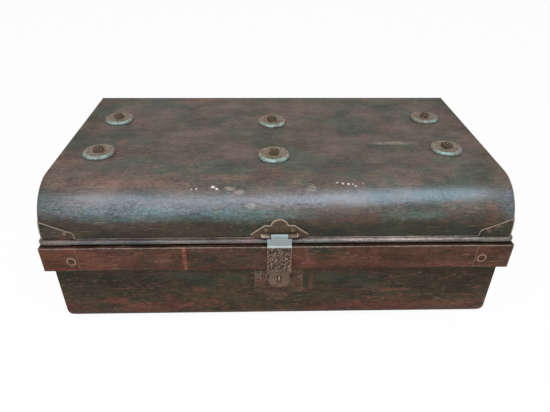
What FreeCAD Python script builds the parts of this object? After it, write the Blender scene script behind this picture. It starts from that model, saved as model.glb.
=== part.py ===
"""Sheet-steel travelling trunk: rolled-edge body, flat-topped lid with one rounded front edge, skirt,
hasp and staple, drop handles and two back hinges.

Frame: X to the right, Y to the back, Z up, millimetres.  The origin is on the ground under the
middle of the trunk.  "Outer" faces are the painted outside of each sheet.
"""
import FreeCAD, Part
import math
import operator
import os
import Sketcher

# --------------------------------------------------------------------------------------------------
# Driving dimensions: alias, value, what it is
# --------------------------------------------------------------------------------------------------
DIMENSIONS = (
    ("sheet_steel", 1.0, "thickness of the body and lid sheets"),
    ("front_face", -218.0, "Y of the skirt's outer front face"),
    ("skirt_width", 760.0, "skirt, outside, left to right"),
    ("skirt_depth", 437.0, "skirt, outside, front to back"),
    ("skirt_height", 45.0, "skirt, top to bottom"),
    ("skirt_bottom", 124.0, "ground to the skirt's lower edge, lid closed"),
    ("skirt_lip", 18.0, "upturned lip that holds the skirt inside the lid"),
    ("body_inset", 10.7, "skirt face to body face"),
    ("body_radius", 25.0, "rounding of the body's lower front and back edges"),
    ("end_flange", 10.0, "flange of an end sheet"),
    ("rim_height", 160.0, "ground to the centre of the body's rolled edge"),
    ("rim_roll", 3.2, "outer radius of the body's rolled edge"),
    ("rim_wire_radius", 2.1, "radius of the wire in the body's rolled edge"),
    ("rim_corner", 8.0, "bend radius of the rim wire at a corner"),
    ("lid_face_inset", 11.0, "skirt face to lid face, front and back"),
    ("lid_end_inset", 5.0, "skirt face to lid face, ends"),
    ("lid_rise", 136.5, "skirt's lower edge to the lid's flat top"),
    ("lid_front_radius", 72.0, "big rounding along the lid's front"),
    ("lid_back_radius", 8.0, "small rounding along the lid's back"),
    ("bead_height", 175.0, "ground to the centre of the lid's rolled edge"),
    ("bead_roll", 3.8, "outer radius of the lid's rolled edge"),
    ("bead_wire_radius", 2.7, "radius of the wire in the lid's rolled edge"),
    ("bead_corner", 7.0, "bend radius of the bead wire at a corner"),
    ("corner_plate", 0.8, "thickness of the corner plates"),
    ("skirt_corner_leg", 59.0, "leg of a skirt corner plate"),
    ("skirt_rivet_in", 47.0, "corner to the middle of a skirt corner rivet"),
    ("lid_corner_leg", 52.0, "leg of a lid corner plate"),
    ("skirt_rivet_height", 143.5, "ground to a skirt corner rivet"),
    ("lid_corner_height", 33.0, "height of a lid corner plate at the corner"),
    ("lid_corner_tip", 12.0, "height of a lid corner plate at its tips"),
    ("lid_corner_round", 8.0, "rounding of a lid corner plate's tips"),
    ("lid_rivet_in", 38.0, "corner to the middle of a lid corner rivet"),
    ("lid_rivet_height", 191.0, "ground to a lid corner rivet"),
    ("hasp_x", 1.0, "middle of the hasp"),
    ("hasp_width", 39.0, "width of the hasp strap"),
    ("hasp_gauge", 1.9, "thickness of the hasp strap"),
    ("hasp_gap", 0.6, "skirt face to the back of the strap"),
    ("hasp_knuckle", 27.0, "length of the hasp's own knuckle"),
    ("knuckle_radius", 3.45, "outer radius of the hasp knuckles"),
    ("hasp_pin_radius", 1.5, "radius of the hasp pin"),
    ("hasp_pin_in", 6.0, "skirt face to the hasp pin's axis"),
    ("hasp_pin_height", 186.2, "ground to the hasp pin's axis"),
    ("hasp_shoulder", 116.0, "ground to the notches above the hasp's round end"),
    ("hasp_lobe", 18.0, "half the width of the hasp's round end"),
    ("hasp_foot", 85.5, "ground to the bottom of the hasp's round end"),
    ("hasp_rivet_half", 21.0, "middle of the hasp to a rivet of its upper plate"),
    ("hasp_rivet_height", 194.5, "ground to a rivet of the hasp's upper plate"),
    ("slot_width", 7.4, "slot in the hasp, across"),
    ("slot_height", 15.2, "slot in the hasp, up and down"),
    ("slot_middle", 103.8, "ground to the middle of the slot"),
    ("staple_gauge", 3.5, "thickness of the staple"),
    ("staple_middle", 106.0, "ground to the middle of the staple"),
    ("staple_reach", 9.4, "skirt face to the front of the staple"),
    ("staple_eye", 2.2, "radius of the staple's eye"),
    ("lock_plate_gauge", 1.2, "thickness of the lock plate"),
    ("lock_plate_half", 41.0, "half the lock plate's width"),
    ("lock_plate_top", 121.0, "ground to the lock plate's upper edge"),
    ("lock_plate_foot", 64.0, "ground to the foot of the lock plate's sides"),
    ("lock_plate_tip", 37.5, "ground to the lock plate's lowest point"),
    ("lock_rivet_half", 36.0, "middle of the hasp to a lock plate rivet"),
    ("lock_rivet_height", 99.5, "ground to a lock plate rivet"),
    ("lock_hole_x", 3.0, "middle of the hasp to the small hole in the lock plate"),
    ("lock_hole_height", 70.0, "ground to the small hole in the lock plate"),
    ("hinge_plate_gauge", 1.2, "thickness of the hasp's upper plate"),
    ("hinge_plate_half", 46.0, "half the upper plate's width"),
    ("hinge_plate_side", 187.5, "ground to the top of the upper plate's sides"),
    ("hinge_plate_shoulder", 203.0, "ground to the upper plate's shoulders"),
    ("hinge_plate_top", 213.0, "ground to the top of the upper plate's lobe"),
    ("hinge_plate_foot", 179.6, "ground to the foot of the upper plate"),
    ("hinge_plate_raise", 1.9, "lid to the face of the upper plate's raised lobe"),
    ("side_knuckle", 15.0, "length of each of the upper plate's knuckles"),
    ("knuckle_gap", 0.5, "gap between the hasp's knuckle and its neighbours"),
    ("hinge_x", 240.0, "middle of the trunk to the middle of a back hinge"),
    ("hinge_width", 50.0, "width of a back hinge"),
    ("hinge_gauge", 2.0, "thickness of a back hinge's leaves"),
    ("hinge_barrel", 4.0, "outer radius of a back hinge's knuckles"),
    ("hinge_pin_radius", 2.0, "radius of a back hinge's pin"),
    ("hinge_rivet_half", 14.0, "middle of a back hinge to its rivets"),
    ("hinge_crank", 8.0, "pivot down to the crank of a lower leaf"),
    ("hinge_foot", 76.0, "ground to the foot of a lower leaf"),
    ("hinge_gap", 0.4, "clearance between a moving leaf and what it passes"),
    ("running_fit", 0.05, "radial clearance of a pin in a turning knuckle"),
    ("batten_width", 38.0, "inner batten, across"),
    ("batten_gauge", 12.0, "inner batten, thickness"),
    ("left_batten_x", -309.0, "middle of the left batten"),
    ("left_front_bolt", 152.0, "skirt's front face to the left front bolt"),
    ("left_back_bolt", 298.0, "skirt's front face to the left back bolt"),
    ("middle_batten_x", -5.5, "middle of the middle batten"),
    ("middle_front_bolt", 139.0, "skirt's front face to the middle front bolt"),
    ("middle_back_bolt", 284.0, "skirt's front face to the middle back bolt"),
    ("right_batten_x", 303.0, "middle of the right batten"),
    ("right_front_bolt", 162.0, "skirt's front face to the right front bolt"),
    ("right_back_bolt", 301.5, "skirt's front face to the right back bolt"),
    ("bolt_radius", 4.0, "radius of a lid bolt"),
    ("bolt_head", 10.0, "radius of a lid bolt's mushroom head"),
    ("nut_width", 15.0, "square nut, across the flats"),
    ("nut_height", 7.0, "square nut, height"),
    ("washer_radius", 28.0, "outer radius of a dished washer"),
    ("washer_height", 5.6, "height of a dished washer's rim"),
    ("washer_seat", 4.0, "lid to the face that the nut sits on"),
    ("washer_gauge", 1.5, "thickness of a dished washer"),
    ("handle_height", 84.0, "ground to a handle's pivot axis"),
    ("handle_half", 66.0, "middle of a handle to the middle of an arm"),
    ("handle_drop", 50.0, "pivot axis to the middle of the grip"),
    ("handle_rod", 4.0, "radius of the handle's rod"),
    ("handle_bend", 12.0, "bend radius of the handle's rod"),
    ("handle_stub", 22.0, "length of the rod's end inside an eye, from the arm's middle"),
    ("handle_play", 0.5, "radial clearance of the handle in its eyes"),
    ("eye_gauge", 1.8, "thickness of a handle eye's strap"),
    ("eye_width", 12.0, "width of a handle eye"),
    ("handle_plate_gauge", 1.5, "thickness of a handle plate"),
    ("handle_plate_half", 86.0, "half the length of a handle plate"),
    ("handle_plate_rise", 18.0, "half the height of a handle plate"),
    ("handle_rivet_in", 7.0, "end of a handle plate to its rivets"),
    ("handle_rivet_rise", 10.0, "pivot axis to a rivet of the handle plate, up or down"),
    ("eye_foot", 15.0, "half the height of a handle eye's feet"),
)

doc = FreeCAD.newDocument("travelling_trunk")
sheet = doc.addObject("Spreadsheet::Sheet", "Dimensions")
for row, (alias, value, meaning) in enumerate(DIMENSIONS, start=1):
    sheet.set(f"A{row}", meaning)
    sheet.set(f"B{row}", str(value))
    sheet.setAlias(f"B{row}", alias)
doc.recompute()


class Size:
    """A size worked out from the sheet: its value, and the expression that an object is bound to."""

    def __init__(self, value, text):
        self.value = float(value)
        self.text = text

    def __add__(self, other):
        return worked_out(self, "+", other)

    def __radd__(self, other):
        return worked_out(other, "+", self)

    def __sub__(self, other):
        return worked_out(self, "-", other)

    def __rsub__(self, other):
        return worked_out(other, "-", self)

    def __mul__(self, other):
        return worked_out(self, "*", other)

    def __rmul__(self, other):
        return worked_out(other, "*", self)

    def __truediv__(self, other):
        return worked_out(self, "/", other)

    def __neg__(self):
        return worked_out(0, "-", self)


SIGNS = {"+": operator.add, "-": operator.sub, "*": operator.mul, "/": operator.truediv}


def as_size(number):
    """The number itself when it is a Size, or a Size that holds a plain number."""
    return number if isinstance(number, Size) else Size(number, repr(float(number)))


def worked_out(left, sign, right):
    """One sum on two sizes."""
    left, right = as_size(left), as_size(right)
    return Size(SIGNS[sign](left.value, right.value), f"({left.text} {sign} {right.text})")


def sheet_size(alias):
    """A driving dimension as a Size."""
    return Size(sheet.get(alias), "Dimensions." + alias)


# Faces and lines that several pieces share
THICK = sheet_size("sheet_steel")
FRONT = sheet_size("front_face")
BACK = FRONT + sheet_size("skirt_depth")
MIDDLE = FRONT + sheet_size("skirt_depth") / 2
SKIRT_HALF = sheet_size("skirt_width") / 2
SKIRT_LOW = sheet_size("skirt_bottom")
SKIRT_TOP = SKIRT_LOW + sheet_size("skirt_height")
BODY_FRONT = FRONT + sheet_size("body_inset")
BODY_BACK = BACK - sheet_size("body_inset")
BODY_HALF = SKIRT_HALF - sheet_size("body_inset")
RIM = sheet_size("rim_height")
RIM_ROLL = sheet_size("rim_roll")
LID_FRONT = FRONT + sheet_size("lid_face_inset")
LID_BACK = BACK - sheet_size("lid_face_inset")
LID_HALF = SKIRT_HALF - sheet_size("lid_end_inset")
LID_TOP = SKIRT_LOW + sheet_size("lid_rise")
LID_ROUND = sheet_size("lid_front_radius")
LID_EDGE = sheet_size("lid_back_radius")
BEAD = sheet_size("bead_height")
BEAD_ROLL = sheet_size("bead_roll")
HASP_X = sheet_size("hasp_x")
HASP_PIN_Y = FRONT + sheet_size("hasp_pin_in")
HASP_PIN_Z = sheet_size("hasp_pin_height")
KNUCKLE = sheet_size("knuckle_radius")
FIT = sheet_size("running_fit")

# Rivet and bolt places, as (across, up) in the plane that they are drilled from
LOCK_RIVETS = [(HASP_X + side * sheet_size("lock_rivet_half"), sheet_size("lock_rivet_height"))
               for side in (-1, 1)]
LOCK_HOLE = (HASP_X + sheet_size("lock_hole_x"), sheet_size("lock_hole_height"))
HASP_RIVETS = [(HASP_X + side * sheet_size("hasp_rivet_half"), sheet_size("hasp_rivet_height"))
               for side in (-1, 1)]
LID_CORNER_RIVET = sheet_size("lid_rivet_height")
SKIRT_CORNER_RIVET = sheet_size("skirt_rivet_height")
HINGE_RIVETS_UPPER = (136.0, 152.0)
HINGE_RIVETS_LOWER = (105.0, 86.0)
BOLTS = [
    (sheet_size(f"{name}_batten_x"), FRONT + sheet_size(f"{name}_{row}_bolt"))
    for name in ("left", "middle", "right")
    for row in ("front", "back")
]
RIVET_HOLE = 2.0
SMALL_RIVET = 1.95

PARTS = {}


# --------------------------------------------------------------------------------------------------
# Drawing helpers
# --------------------------------------------------------------------------------------------------
def bind(thing, sizes):
    """Binds properties of an object to the sheet."""
    for name, size in sizes.items():
        thing.setExpression(name, as_size(size).text)


def new_body(name):
    """A PartDesign body."""
    body = doc.addObject("PartDesign::Body", name)
    body.Label = name
    return body


def flat_sketch(body, plane, offset=0):
    """A sketch on one of the body's own planes, moved along X, Y or Z by offset."""
    sketch = body.newObject("Sketcher::SketchObject", "outline")
    support = next(item for item in body.Origin.OriginFeatures if item.Role == plane + "_Plane")
    sketch.AttachmentSupport = [(support, "")]
    sketch.MapMode = "FlatFace"
    along_normal = -as_size(offset) if plane == "XZ" else as_size(offset)
    bind(sketch, {"AttachmentOffset.Base.z": along_normal})
    return sketch


def place_point(sketch, shape, end, spot):
    """Holds one point of a sketch at (across, up)."""
    for kind, size in zip(("DistanceX", "DistanceY"), spot):
        size = as_size(size)
        number = sketch.addConstraint(Sketcher.Constraint(kind, -1, 1, shape, end, size.value))
        sketch.setExpression(f"Constraints[{number}]", size.text)


def rounding(before, corner, after, radius):
    """The arc that rounds a corner: where it starts, its middle point and where it ends."""
    towards = (before - corner).normalize()
    away = (after - corner).normalize()
    half_turn = towards.getAngle(away) / 2
    inwards = (towards + away).normalize()
    reach = radius / math.tan(half_turn)
    middle = corner + inwards * (radius / math.sin(half_turn) - radius)
    return corner + towards * reach, middle, corner + away * reach


def draw(sketch, corners, closed=True):
    """Straight lines through corners (across, up[, radius]); a corner with a radius is rounded."""
    spots = [corner[:2] for corner in corners]
    radii = [as_size(corner[2]) if len(corner) > 2 else None for corner in corners]
    points = [FreeCAD.Vector(*(as_size(size).value for size in spot)) for spot in spots]
    count = len(points)
    ends = []
    for index, point in enumerate(points):
        if radii[index] is None:
            ends.append((point, None, point))
        else:
            after = points[(index + 1) % count]
            ends.append(rounding(points[index - 1], point, after, radii[index].value))
    edges = count if closed else count - 1
    lines = []
    for index in range(edges):
        start, finish = ends[index][2], ends[(index + 1) % count][0]
        lines.append(sketch.addGeometry(Part.LineSegment(start, finish)))
    for index in range(count):
        arriving = lines[index - 1] if closed or index > 0 else None
        leaving = lines[index] if index < edges else None
        if radii[index] is not None:
            join_with_arc(sketch, ends[index], radii[index], arriving, leaving, spots[index])
            continue
        if arriving is not None and leaving is not None:
            sketch.addConstraint(Sketcher.Constraint("Coincident", arriving, 2, leaving, 1))
        if leaving is not None:
            place_point(sketch, leaving, 1, spots[index])
        else:
            place_point(sketch, arriving, 2, spots[index])


def join_with_arc(sketch, arc_points, radius, arriving, leaving, spot):
    """Joins two lines by an arc tangent to both, whose lines would meet at spot."""
    arc = sketch.addGeometry(Part.Arc(*arc_points))
    starts_first = sketch.getPoint(arc, 1).distanceToPoint(arc_points[0]) < 1e-6
    first, last = (1, 2) if starts_first else (2, 1)
    sketch.addConstraint(Sketcher.Constraint("Tangent", arriving, 2, arc, first))
    sketch.addConstraint(Sketcher.Constraint("Tangent", arc, last, leaving, 1))
    number = sketch.addConstraint(Sketcher.Constraint("Radius", arc, radius.value))
    sketch.setExpression(f"Constraints[{number}]", radius.text)
    corner_point = Part.Point(FreeCAD.Vector(*(as_size(size).value for size in spot)))
    corner = sketch.addGeometry(corner_point, True)
    place_point(sketch, corner, 1, spot)
    sketch.addConstraint(Sketcher.Constraint("PointOnObject", corner, 1, arriving))
    sketch.addConstraint(Sketcher.Constraint("PointOnObject", corner, 1, leaving))


def ring(sketch, centre, radius):
    """A circle about (across, up)."""
    radius = as_size(radius)
    middle = FreeCAD.Vector(*(as_size(size).value for size in centre))
    circle = sketch.addGeometry(Part.Circle(middle, FreeCAD.Vector(0, 0, 1), radius.value))
    place_point(sketch, circle, 3, centre)
    number = sketch.addConstraint(Sketcher.Constraint("Radius", circle, radius.value))
    sketch.setExpression(f"Constraints[{number}]", radius.text)


def pad(body, sketch, length, both_ways=False, backwards=False):
    """Adds the sketch's area times a length; both_ways puts half on each side."""
    feature = body.newObject("PartDesign::Pad", "pad")
    feature.Profile = sketch
    feature.SideType = "Symmetric" if both_ways else "One side"
    feature.Reversed = backwards
    bind(feature, {"Length": length})
    return feature


def cut_out(body, sketch, length):
    """Cuts the sketch's area as far as length on both sides of its plane."""
    feature = body.newObject("PartDesign::Pocket", "pocket")
    feature.Profile = sketch
    feature.SideType = "Symmetric"
    bind(feature, {"Length": as_size(length) * 2})
    return feature


def drill(body, plane, offset, centres, radius, depth=4):
    """Round holes through one sheet of the body."""
    sketch = flat_sketch(body, plane, offset)
    for centre in centres:
        ring(sketch, centre, radius)
    return cut_out(body, sketch, depth)


def turned(name, profile):
    """A body turned about the Z axis from a profile (radius, height[, rounding])."""
    body = new_body(name)
    sketch = flat_sketch(body, "XZ")
    draw(sketch, profile)
    feature = body.newObject("PartDesign::Revolution", "turning")
    feature.Profile = sketch
    feature.ReferenceAxis = (sketch, ["V_Axis"])
    feature.Angle = 360
    return body


def copies(name, pattern, places):
    """One node of separate, equal solids: each place is (x, y, z, axis, turn about the axis)."""
    links = []
    for x, y, z, axis, turn in places:
        link = doc.addObject("App::Link", name + "_copy")
        link.LinkedObject = pattern
        upright = FreeCAD.Rotation(FreeCAD.Vector(0, 0, 1), FreeCAD.Vector(*axis))
        spun = FreeCAD.Rotation(FreeCAD.Vector(0, 0, 1), turn)
        link.Placement = FreeCAD.Placement(FreeCAD.Vector(), upright.multiply(spun))
        bind(link, {"Placement.Base.x": x, "Placement.Base.y": y, "Placement.Base.z": z})
        links.append(link)
    group = doc.addObject("Part::Compound", name)
    group.Label = name
    group.Links = links
    PARTS[name] = group


def keep(name, thing):
    """Names an object as a sub-part that is handed over."""
    thing.Label = name
    PARTS[name] = thing


def bent_rod(name, spine_plane, spine_offset, corners, closed, start_plane, start_offset, start, radius):
    """A round bar that follows a rounded line, from a circle at the line's start."""
    body = new_body(name)
    spine = flat_sketch(body, spine_plane, spine_offset)
    draw(spine, corners, closed)
    section = flat_sketch(body, start_plane, start_offset)
    ring(section, start, radius)
    pipe = body.newObject("PartDesign::AdditivePipe", "bend")
    pipe.Profile = section
    pipe.Spine = (spine, [])
    return body


# --------------------------------------------------------------------------------------------------
# Sheets with a rolled edge
# --------------------------------------------------------------------------------------------------
def trough(front, back, floor, top, front_round, back_round, thick):
    """Outline of one bent sheet seen from the end: down the front, along the floor, up the back.
    With top above floor it is a trough, with top below floor an arch."""
    up = 1 if top.value > floor.value else -1
    outside = [(front, top), (front, floor, front_round), (back, floor, back_round), (back, top)]
    inner_floor = floor + up * thick
    inside = [
        (back - thick, top),
        (back - thick, inner_floor, back_round - thick),
        (front + thick, inner_floor, front_round - thick),
        (front + thick, top),
    ]
    return outside + inside


def rolled_edge(body, plane, middle, wall, outwards, height, up, roll, length):
    """Rolls the edge of an upright sheet round a wire.  wall is the sheet's outer face, outwards the
    way it faces along the sketch, and up says whether the sheet stands above (1) the roll."""
    centre = wall + outwards * (roll - THICK)
    web = flat_sketch(body, plane, middle)
    reach = height + up * (roll - THICK / 2)
    draw(web, [(wall, height), (wall, reach), (wall - outwards * THICK, reach),
               (wall - outwards * THICK, height)])
    pad(body, web, length, both_ways=True)
    tube = flat_sketch(body, plane, middle)
    ring(tube, (centre, height), roll)
    ring(tube, (centre, height), roll - THICK)
    pad(body, tube, length, both_ways=True)


def end_sheet(name, side, half, front, back, floor, top, front_round, back_round):
    """A flanged end sheet that fits inside the wrapped sheet: its face, then its flange."""
    body = new_body(name)
    face_lines = [
        (front, top), (front, floor, front_round), (back, floor, back_round), (back, top),
    ]
    face = flat_sketch(body, "YZ", side * half)
    draw(face, face_lines)
    pad(body, face, THICK, backwards=side > 0)
    flange = flat_sketch(body, "YZ", side * (half - THICK))
    draw(flange, trough(front, back, floor, top, front_round, back_round, THICK))
    pad(body, flange, sheet_size("end_flange") - THICK, backwards=side > 0)
    keep(name, body)
    return body


def body_sheets():
    """The body: one wrapped sheet, two end sheets and the wire in their rolled edges."""
    radius = sheet_size("body_radius")
    wall_top = RIM - RIM_ROLL + THICK / 2
    spread = RIM_ROLL - THICK
    bend_room = sheet_size("rim_corner") + 1
    wrap = new_body("body_wrap")
    profile = flat_sketch(wrap, "YZ")
    draw(profile, trough(BODY_FRONT, BODY_BACK, as_size(0), wall_top, radius, radius, THICK))
    pad(wrap, profile, BODY_HALF * 2, both_ways=True)
    length = (BODY_HALF + spread - bend_room) * 2
    rolled_edge(wrap, "YZ", 0, BODY_FRONT, -1, RIM, -1, RIM_ROLL, length)
    rolled_edge(wrap, "YZ", 0, BODY_BACK, 1, RIM, -1, RIM_ROLL, length)
    drill(wrap, "XZ", BODY_FRONT, LOCK_RIVETS + [LOCK_HOLE], RIVET_HOLE)
    slot = flat_sketch(wrap, "XZ", BODY_FRONT)
    draw(slot, staple_slot())
    cut_out(wrap, slot, 4)
    for side in (-1, 1):
        places = hinge_rivet_places(side * sheet_size("hinge_x"), HINGE_RIVETS_LOWER)
        drill(wrap, "XZ", BODY_BACK, places, RIVET_HOLE)
    keep("body_wrap", wrap)

    for name, side in (("left", -1), ("right", 1)):
        end = end_sheet("body_end_" + name, side, BODY_HALF, BODY_FRONT + THICK, BODY_BACK - THICK,
                        THICK, wall_top, radius - THICK, radius - THICK)
        length = sheet_size("skirt_depth") - (sheet_size("body_inset") - spread + bend_room) * 2
        rolled_edge(end, "XZ", MIDDLE, side * BODY_HALF, side, RIM, -1, RIM_ROLL, length)
        drill(end, "YZ", side * BODY_HALF, handle_rivet_places(), RIVET_HOLE)

    wire_loop("rim_wire", BODY_HALF + spread, BODY_FRONT - spread, BODY_BACK + spread, RIM,
              sheet_size("rim_corner"), sheet_size("rim_wire_radius"))


def hinge_rivet_places(x, heights):
    """Rivets of one leaf of a back hinge whose middle is at x, as (across, up)."""
    half = sheet_size("hinge_rivet_half")
    return [(x + across, as_size(up)) for across in (-half, half) for up in heights]


def wire_loop(name, half, front, back, height, corner, radius):
    """A closed wire rectangle with rounded corners."""
    corners = [
        (0, front), (half, front, corner), (half, back, corner),
        (-half, back, corner), (-half, front, corner),
    ]
    keep(name, bent_rod(name, "XY", height, corners, True, "YZ", 0, (front, height), radius))


def lid_sheets():
    """The lid: one wrapped sheet, two end sheets and the wire in the bead along their foot."""
    shell = new_body("lid_shell")
    spread = BEAD_ROLL - THICK
    wall_foot = BEAD + BEAD_ROLL - THICK / 2
    bend_room = sheet_size("bead_corner") + 1
    profile = flat_sketch(shell, "YZ")
    draw(profile, trough(LID_FRONT, LID_BACK, LID_TOP, wall_foot, LID_ROUND, LID_EDGE, THICK))
    pad(shell, profile, LID_HALF * 2, both_ways=True)
    length = (LID_HALF + spread - bend_room) * 2
    rolled_edge(shell, "YZ", 0, LID_FRONT, -1, BEAD, 1, BEAD_ROLL, length)
    rolled_edge(shell, "YZ", 0, LID_BACK, 1, BEAD, 1, BEAD_ROLL, length)
    drill(shell, "XY", LID_TOP, BOLTS, sheet_size("bolt_radius") + 0.1)
    drill(shell, "XZ", LID_FRONT, HASP_RIVETS, RIVET_HOLE + 0.15)
    for side in (-1, 1):
        spot = side * (LID_HALF - sheet_size("lid_rivet_in"))
        drill(shell, "XZ", LID_FRONT, [(spot, LID_CORNER_RIVET)], RIVET_HOLE)
        drill(shell, "XZ", LID_BACK, [(spot, LID_CORNER_RIVET)], RIVET_HOLE)
    keep("lid_shell", shell)

    for name, side in (("left", -1), ("right", 1)):
        end = end_sheet("lid_end_" + name, side, LID_HALF, LID_FRONT + THICK, LID_BACK - THICK,
                        LID_TOP - THICK, wall_foot, LID_ROUND - THICK, LID_EDGE - THICK)
        length = sheet_size("skirt_depth") - (sheet_size("lid_face_inset") - spread + bend_room) * 2
        rolled_edge(end, "XZ", MIDDLE, side * LID_HALF, side, BEAD, 1, BEAD_ROLL, length)
        places = [(LID_FRONT + sheet_size("lid_rivet_in"), LID_CORNER_RIVET),
                  (LID_BACK - sheet_size("lid_rivet_in"), LID_CORNER_RIVET)]
        drill(end, "YZ", side * LID_HALF, places, RIVET_HOLE)

    wire_loop("lid_bead_wire", LID_HALF + spread, LID_FRONT - spread, LID_BACK + spread, BEAD,
              sheet_size("bead_corner"), sheet_size("bead_wire_radius"))


def square_to_lid_front(height, plate_gauge):
    """Where a rivet's head sits on a plate over the lid's front rounding: y, z, axis, turn."""
    outside = LID_ROUND + plate_gauge
    middle = LID_TOP - LID_ROUND
    lean = math.asin((height.value - middle.value) / (LID_ROUND.value + 0.1))
    across = LID_FRONT + LID_ROUND - outside * math.cos(lean)
    return across, middle + outside * math.sin(lean), (0, -math.cos(lean), math.sin(lean)), 0


# --------------------------------------------------------------------------------------------------
# Skirt and corner plates
# --------------------------------------------------------------------------------------------------
def skirt_section(face, inwards, lid_face):
    """Z-shaped section: the skirt itself, its shelf under the bead and a lip inside the lid."""
    inner = lid_face + inwards * THICK
    lip_top = SKIRT_TOP - THICK + sheet_size("skirt_lip")
    return [
        (face, SKIRT_LOW), (face, SKIRT_TOP, 1.5), (inner, SKIRT_TOP), (inner, lip_top),
        (inner + inwards * THICK, lip_top), (inner + inwards * THICK, SKIRT_TOP - THICK),
        (face + inwards * THICK, SKIRT_TOP - THICK), (face + inwards * THICK, SKIRT_LOW),
    ]


def skirt():
    """Four strips that lap over the body, meeting at the corners."""
    leg = sheet_size("skirt_rivet_in")
    lip_end = LID_HALF - THICK - sheet_size("end_flange") - 0.5
    cut_near, cut_far, cut_top = 3, 18, SKIRT_TOP + 30  # round the lip, clear of the skirt's face
    for name, face, inwards, lid_face in (
        ("skirt_front", FRONT, 1, LID_FRONT), ("skirt_back", BACK, -1, LID_BACK),
    ):
        strip = new_body(name)
        profile = flat_sketch(strip, "YZ")
        draw(profile, skirt_section(face, inwards, lid_face))
        pad(strip, profile, SKIRT_HALF * 2, both_ways=True)
        for side in (-1, 1):
            trim = flat_sketch(strip, "YZ", side * SKIRT_HALF)
            draw(trim, [
                (face + inwards * cut_near, SKIRT_TOP), (face + inwards * cut_near, cut_top),
                (face + inwards * cut_far, cut_top), (face + inwards * cut_far, SKIRT_TOP),
            ])
            cut_out(strip, trim, SKIRT_HALF - lip_end)
        rivets = [(side * (SKIRT_HALF - leg), SKIRT_CORNER_RIVET) for side in (-1, 1)]
        drill(strip, "XZ", face, rivets, RIVET_HOLE)
        if name == "skirt_back":
            for side in (-1, 1):
                rivets = hinge_rivet_places(side * sheet_size("hinge_x"), HINGE_RIVETS_UPPER)
                drill(strip, "XZ", face, rivets, RIVET_HOLE)
        keep(name, strip)
    for name, side in (("skirt_left", -1), ("skirt_right", 1)):
        strip = new_body(name)
        profile = flat_sketch(strip, "XZ", MIDDLE)
        draw(profile, skirt_section(side * SKIRT_HALF, -side, side * LID_HALF))
        shelf_end = sheet_size("lid_face_inset") + THICK * 3
        pad(strip, profile, sheet_size("skirt_depth") - shelf_end * 2, both_ways=True)
        upright = flat_sketch(strip, "XZ", MIDDLE)
        face = side * SKIRT_HALF
        draw(upright, [
            (face, SKIRT_LOW), (face, SKIRT_TOP - THICK), (face - side * THICK, SKIRT_TOP - THICK),
            (face - side * THICK, SKIRT_LOW),
        ])
        pad(strip, upright, sheet_size("skirt_depth") - THICK * 2, both_ways=True)
        rivets = [(FRONT + leg, SKIRT_CORNER_RIVET), (BACK - leg, SKIRT_CORNER_RIVET)]
        drill(strip, "YZ", face, rivets, RIVET_HOLE)
        keep(name, strip)


CORNERS = (
    ("front_left", -1, -1), ("front_right", 1, -1), ("back_left", -1, 1), ("back_right", 1, 1),
)


def skirt_corners():
    """Four angle plates round the skirt's corners, each with two wide flat rivets."""
    gauge = sheet_size("corner_plate")
    leg = sheet_size("skirt_corner_leg")
    inward = sheet_size("skirt_rivet_in")
    rivet_height = SKIRT_CORNER_RIVET
    places = []
    for name, side, depth in CORNERS:
        face = BACK if depth > 0 else FRONT
        outer_x, outer_y = side * (SKIRT_HALF + gauge), face + depth * gauge
        inner_x, inner_y = side * SKIRT_HALF, face
        plate = new_body("skirt_corner_" + name)
        plan = flat_sketch(plate, "XY", SKIRT_LOW)
        draw(plan, [
            (outer_x - side * leg, outer_y), (outer_x, outer_y, 1.6), (outer_x, outer_y - depth * leg),
            (inner_x, outer_y - depth * leg), (inner_x, inner_y), (outer_x - side * leg, inner_y),
        ])
        pad(plate, plan, sheet_size("skirt_height"))
        drill(plate, "XZ", face, [(side * (SKIRT_HALF - inward), rivet_height)], RIVET_HOLE)
        drill(plate, "YZ", inner_x, [(face - depth * inward, rivet_height)], RIVET_HOLE)
        keep("skirt_corner_" + name, plate)
        places.append((side * (SKIRT_HALF - inward), outer_y, rivet_height, (0, depth, 0), 0))
        places.append((outer_x, face - depth * inward, rivet_height, (side, 0, 0), 0))
    flat_rivet = turned("flat_rivet", [
        (0, 0.7), (6.5, 0.7), (8.6, 0.35), (8.6, 0), (SMALL_RIVET, 0), (SMALL_RIVET, -1.8),
        (3.5, -1.8), (3.5, -2.6), (0, -2.6),
    ])
    copies("skirt_corner_rivets", flat_rivet, places)


def solid_block(name, corners, length):
    """A block as long as the lid, from an outline seen from the end."""
    body = new_body(name)
    sketch = flat_sketch(body, "YZ")
    draw(sketch, corners)
    pad(body, sketch, length, both_ways=True)
    return body


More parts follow.
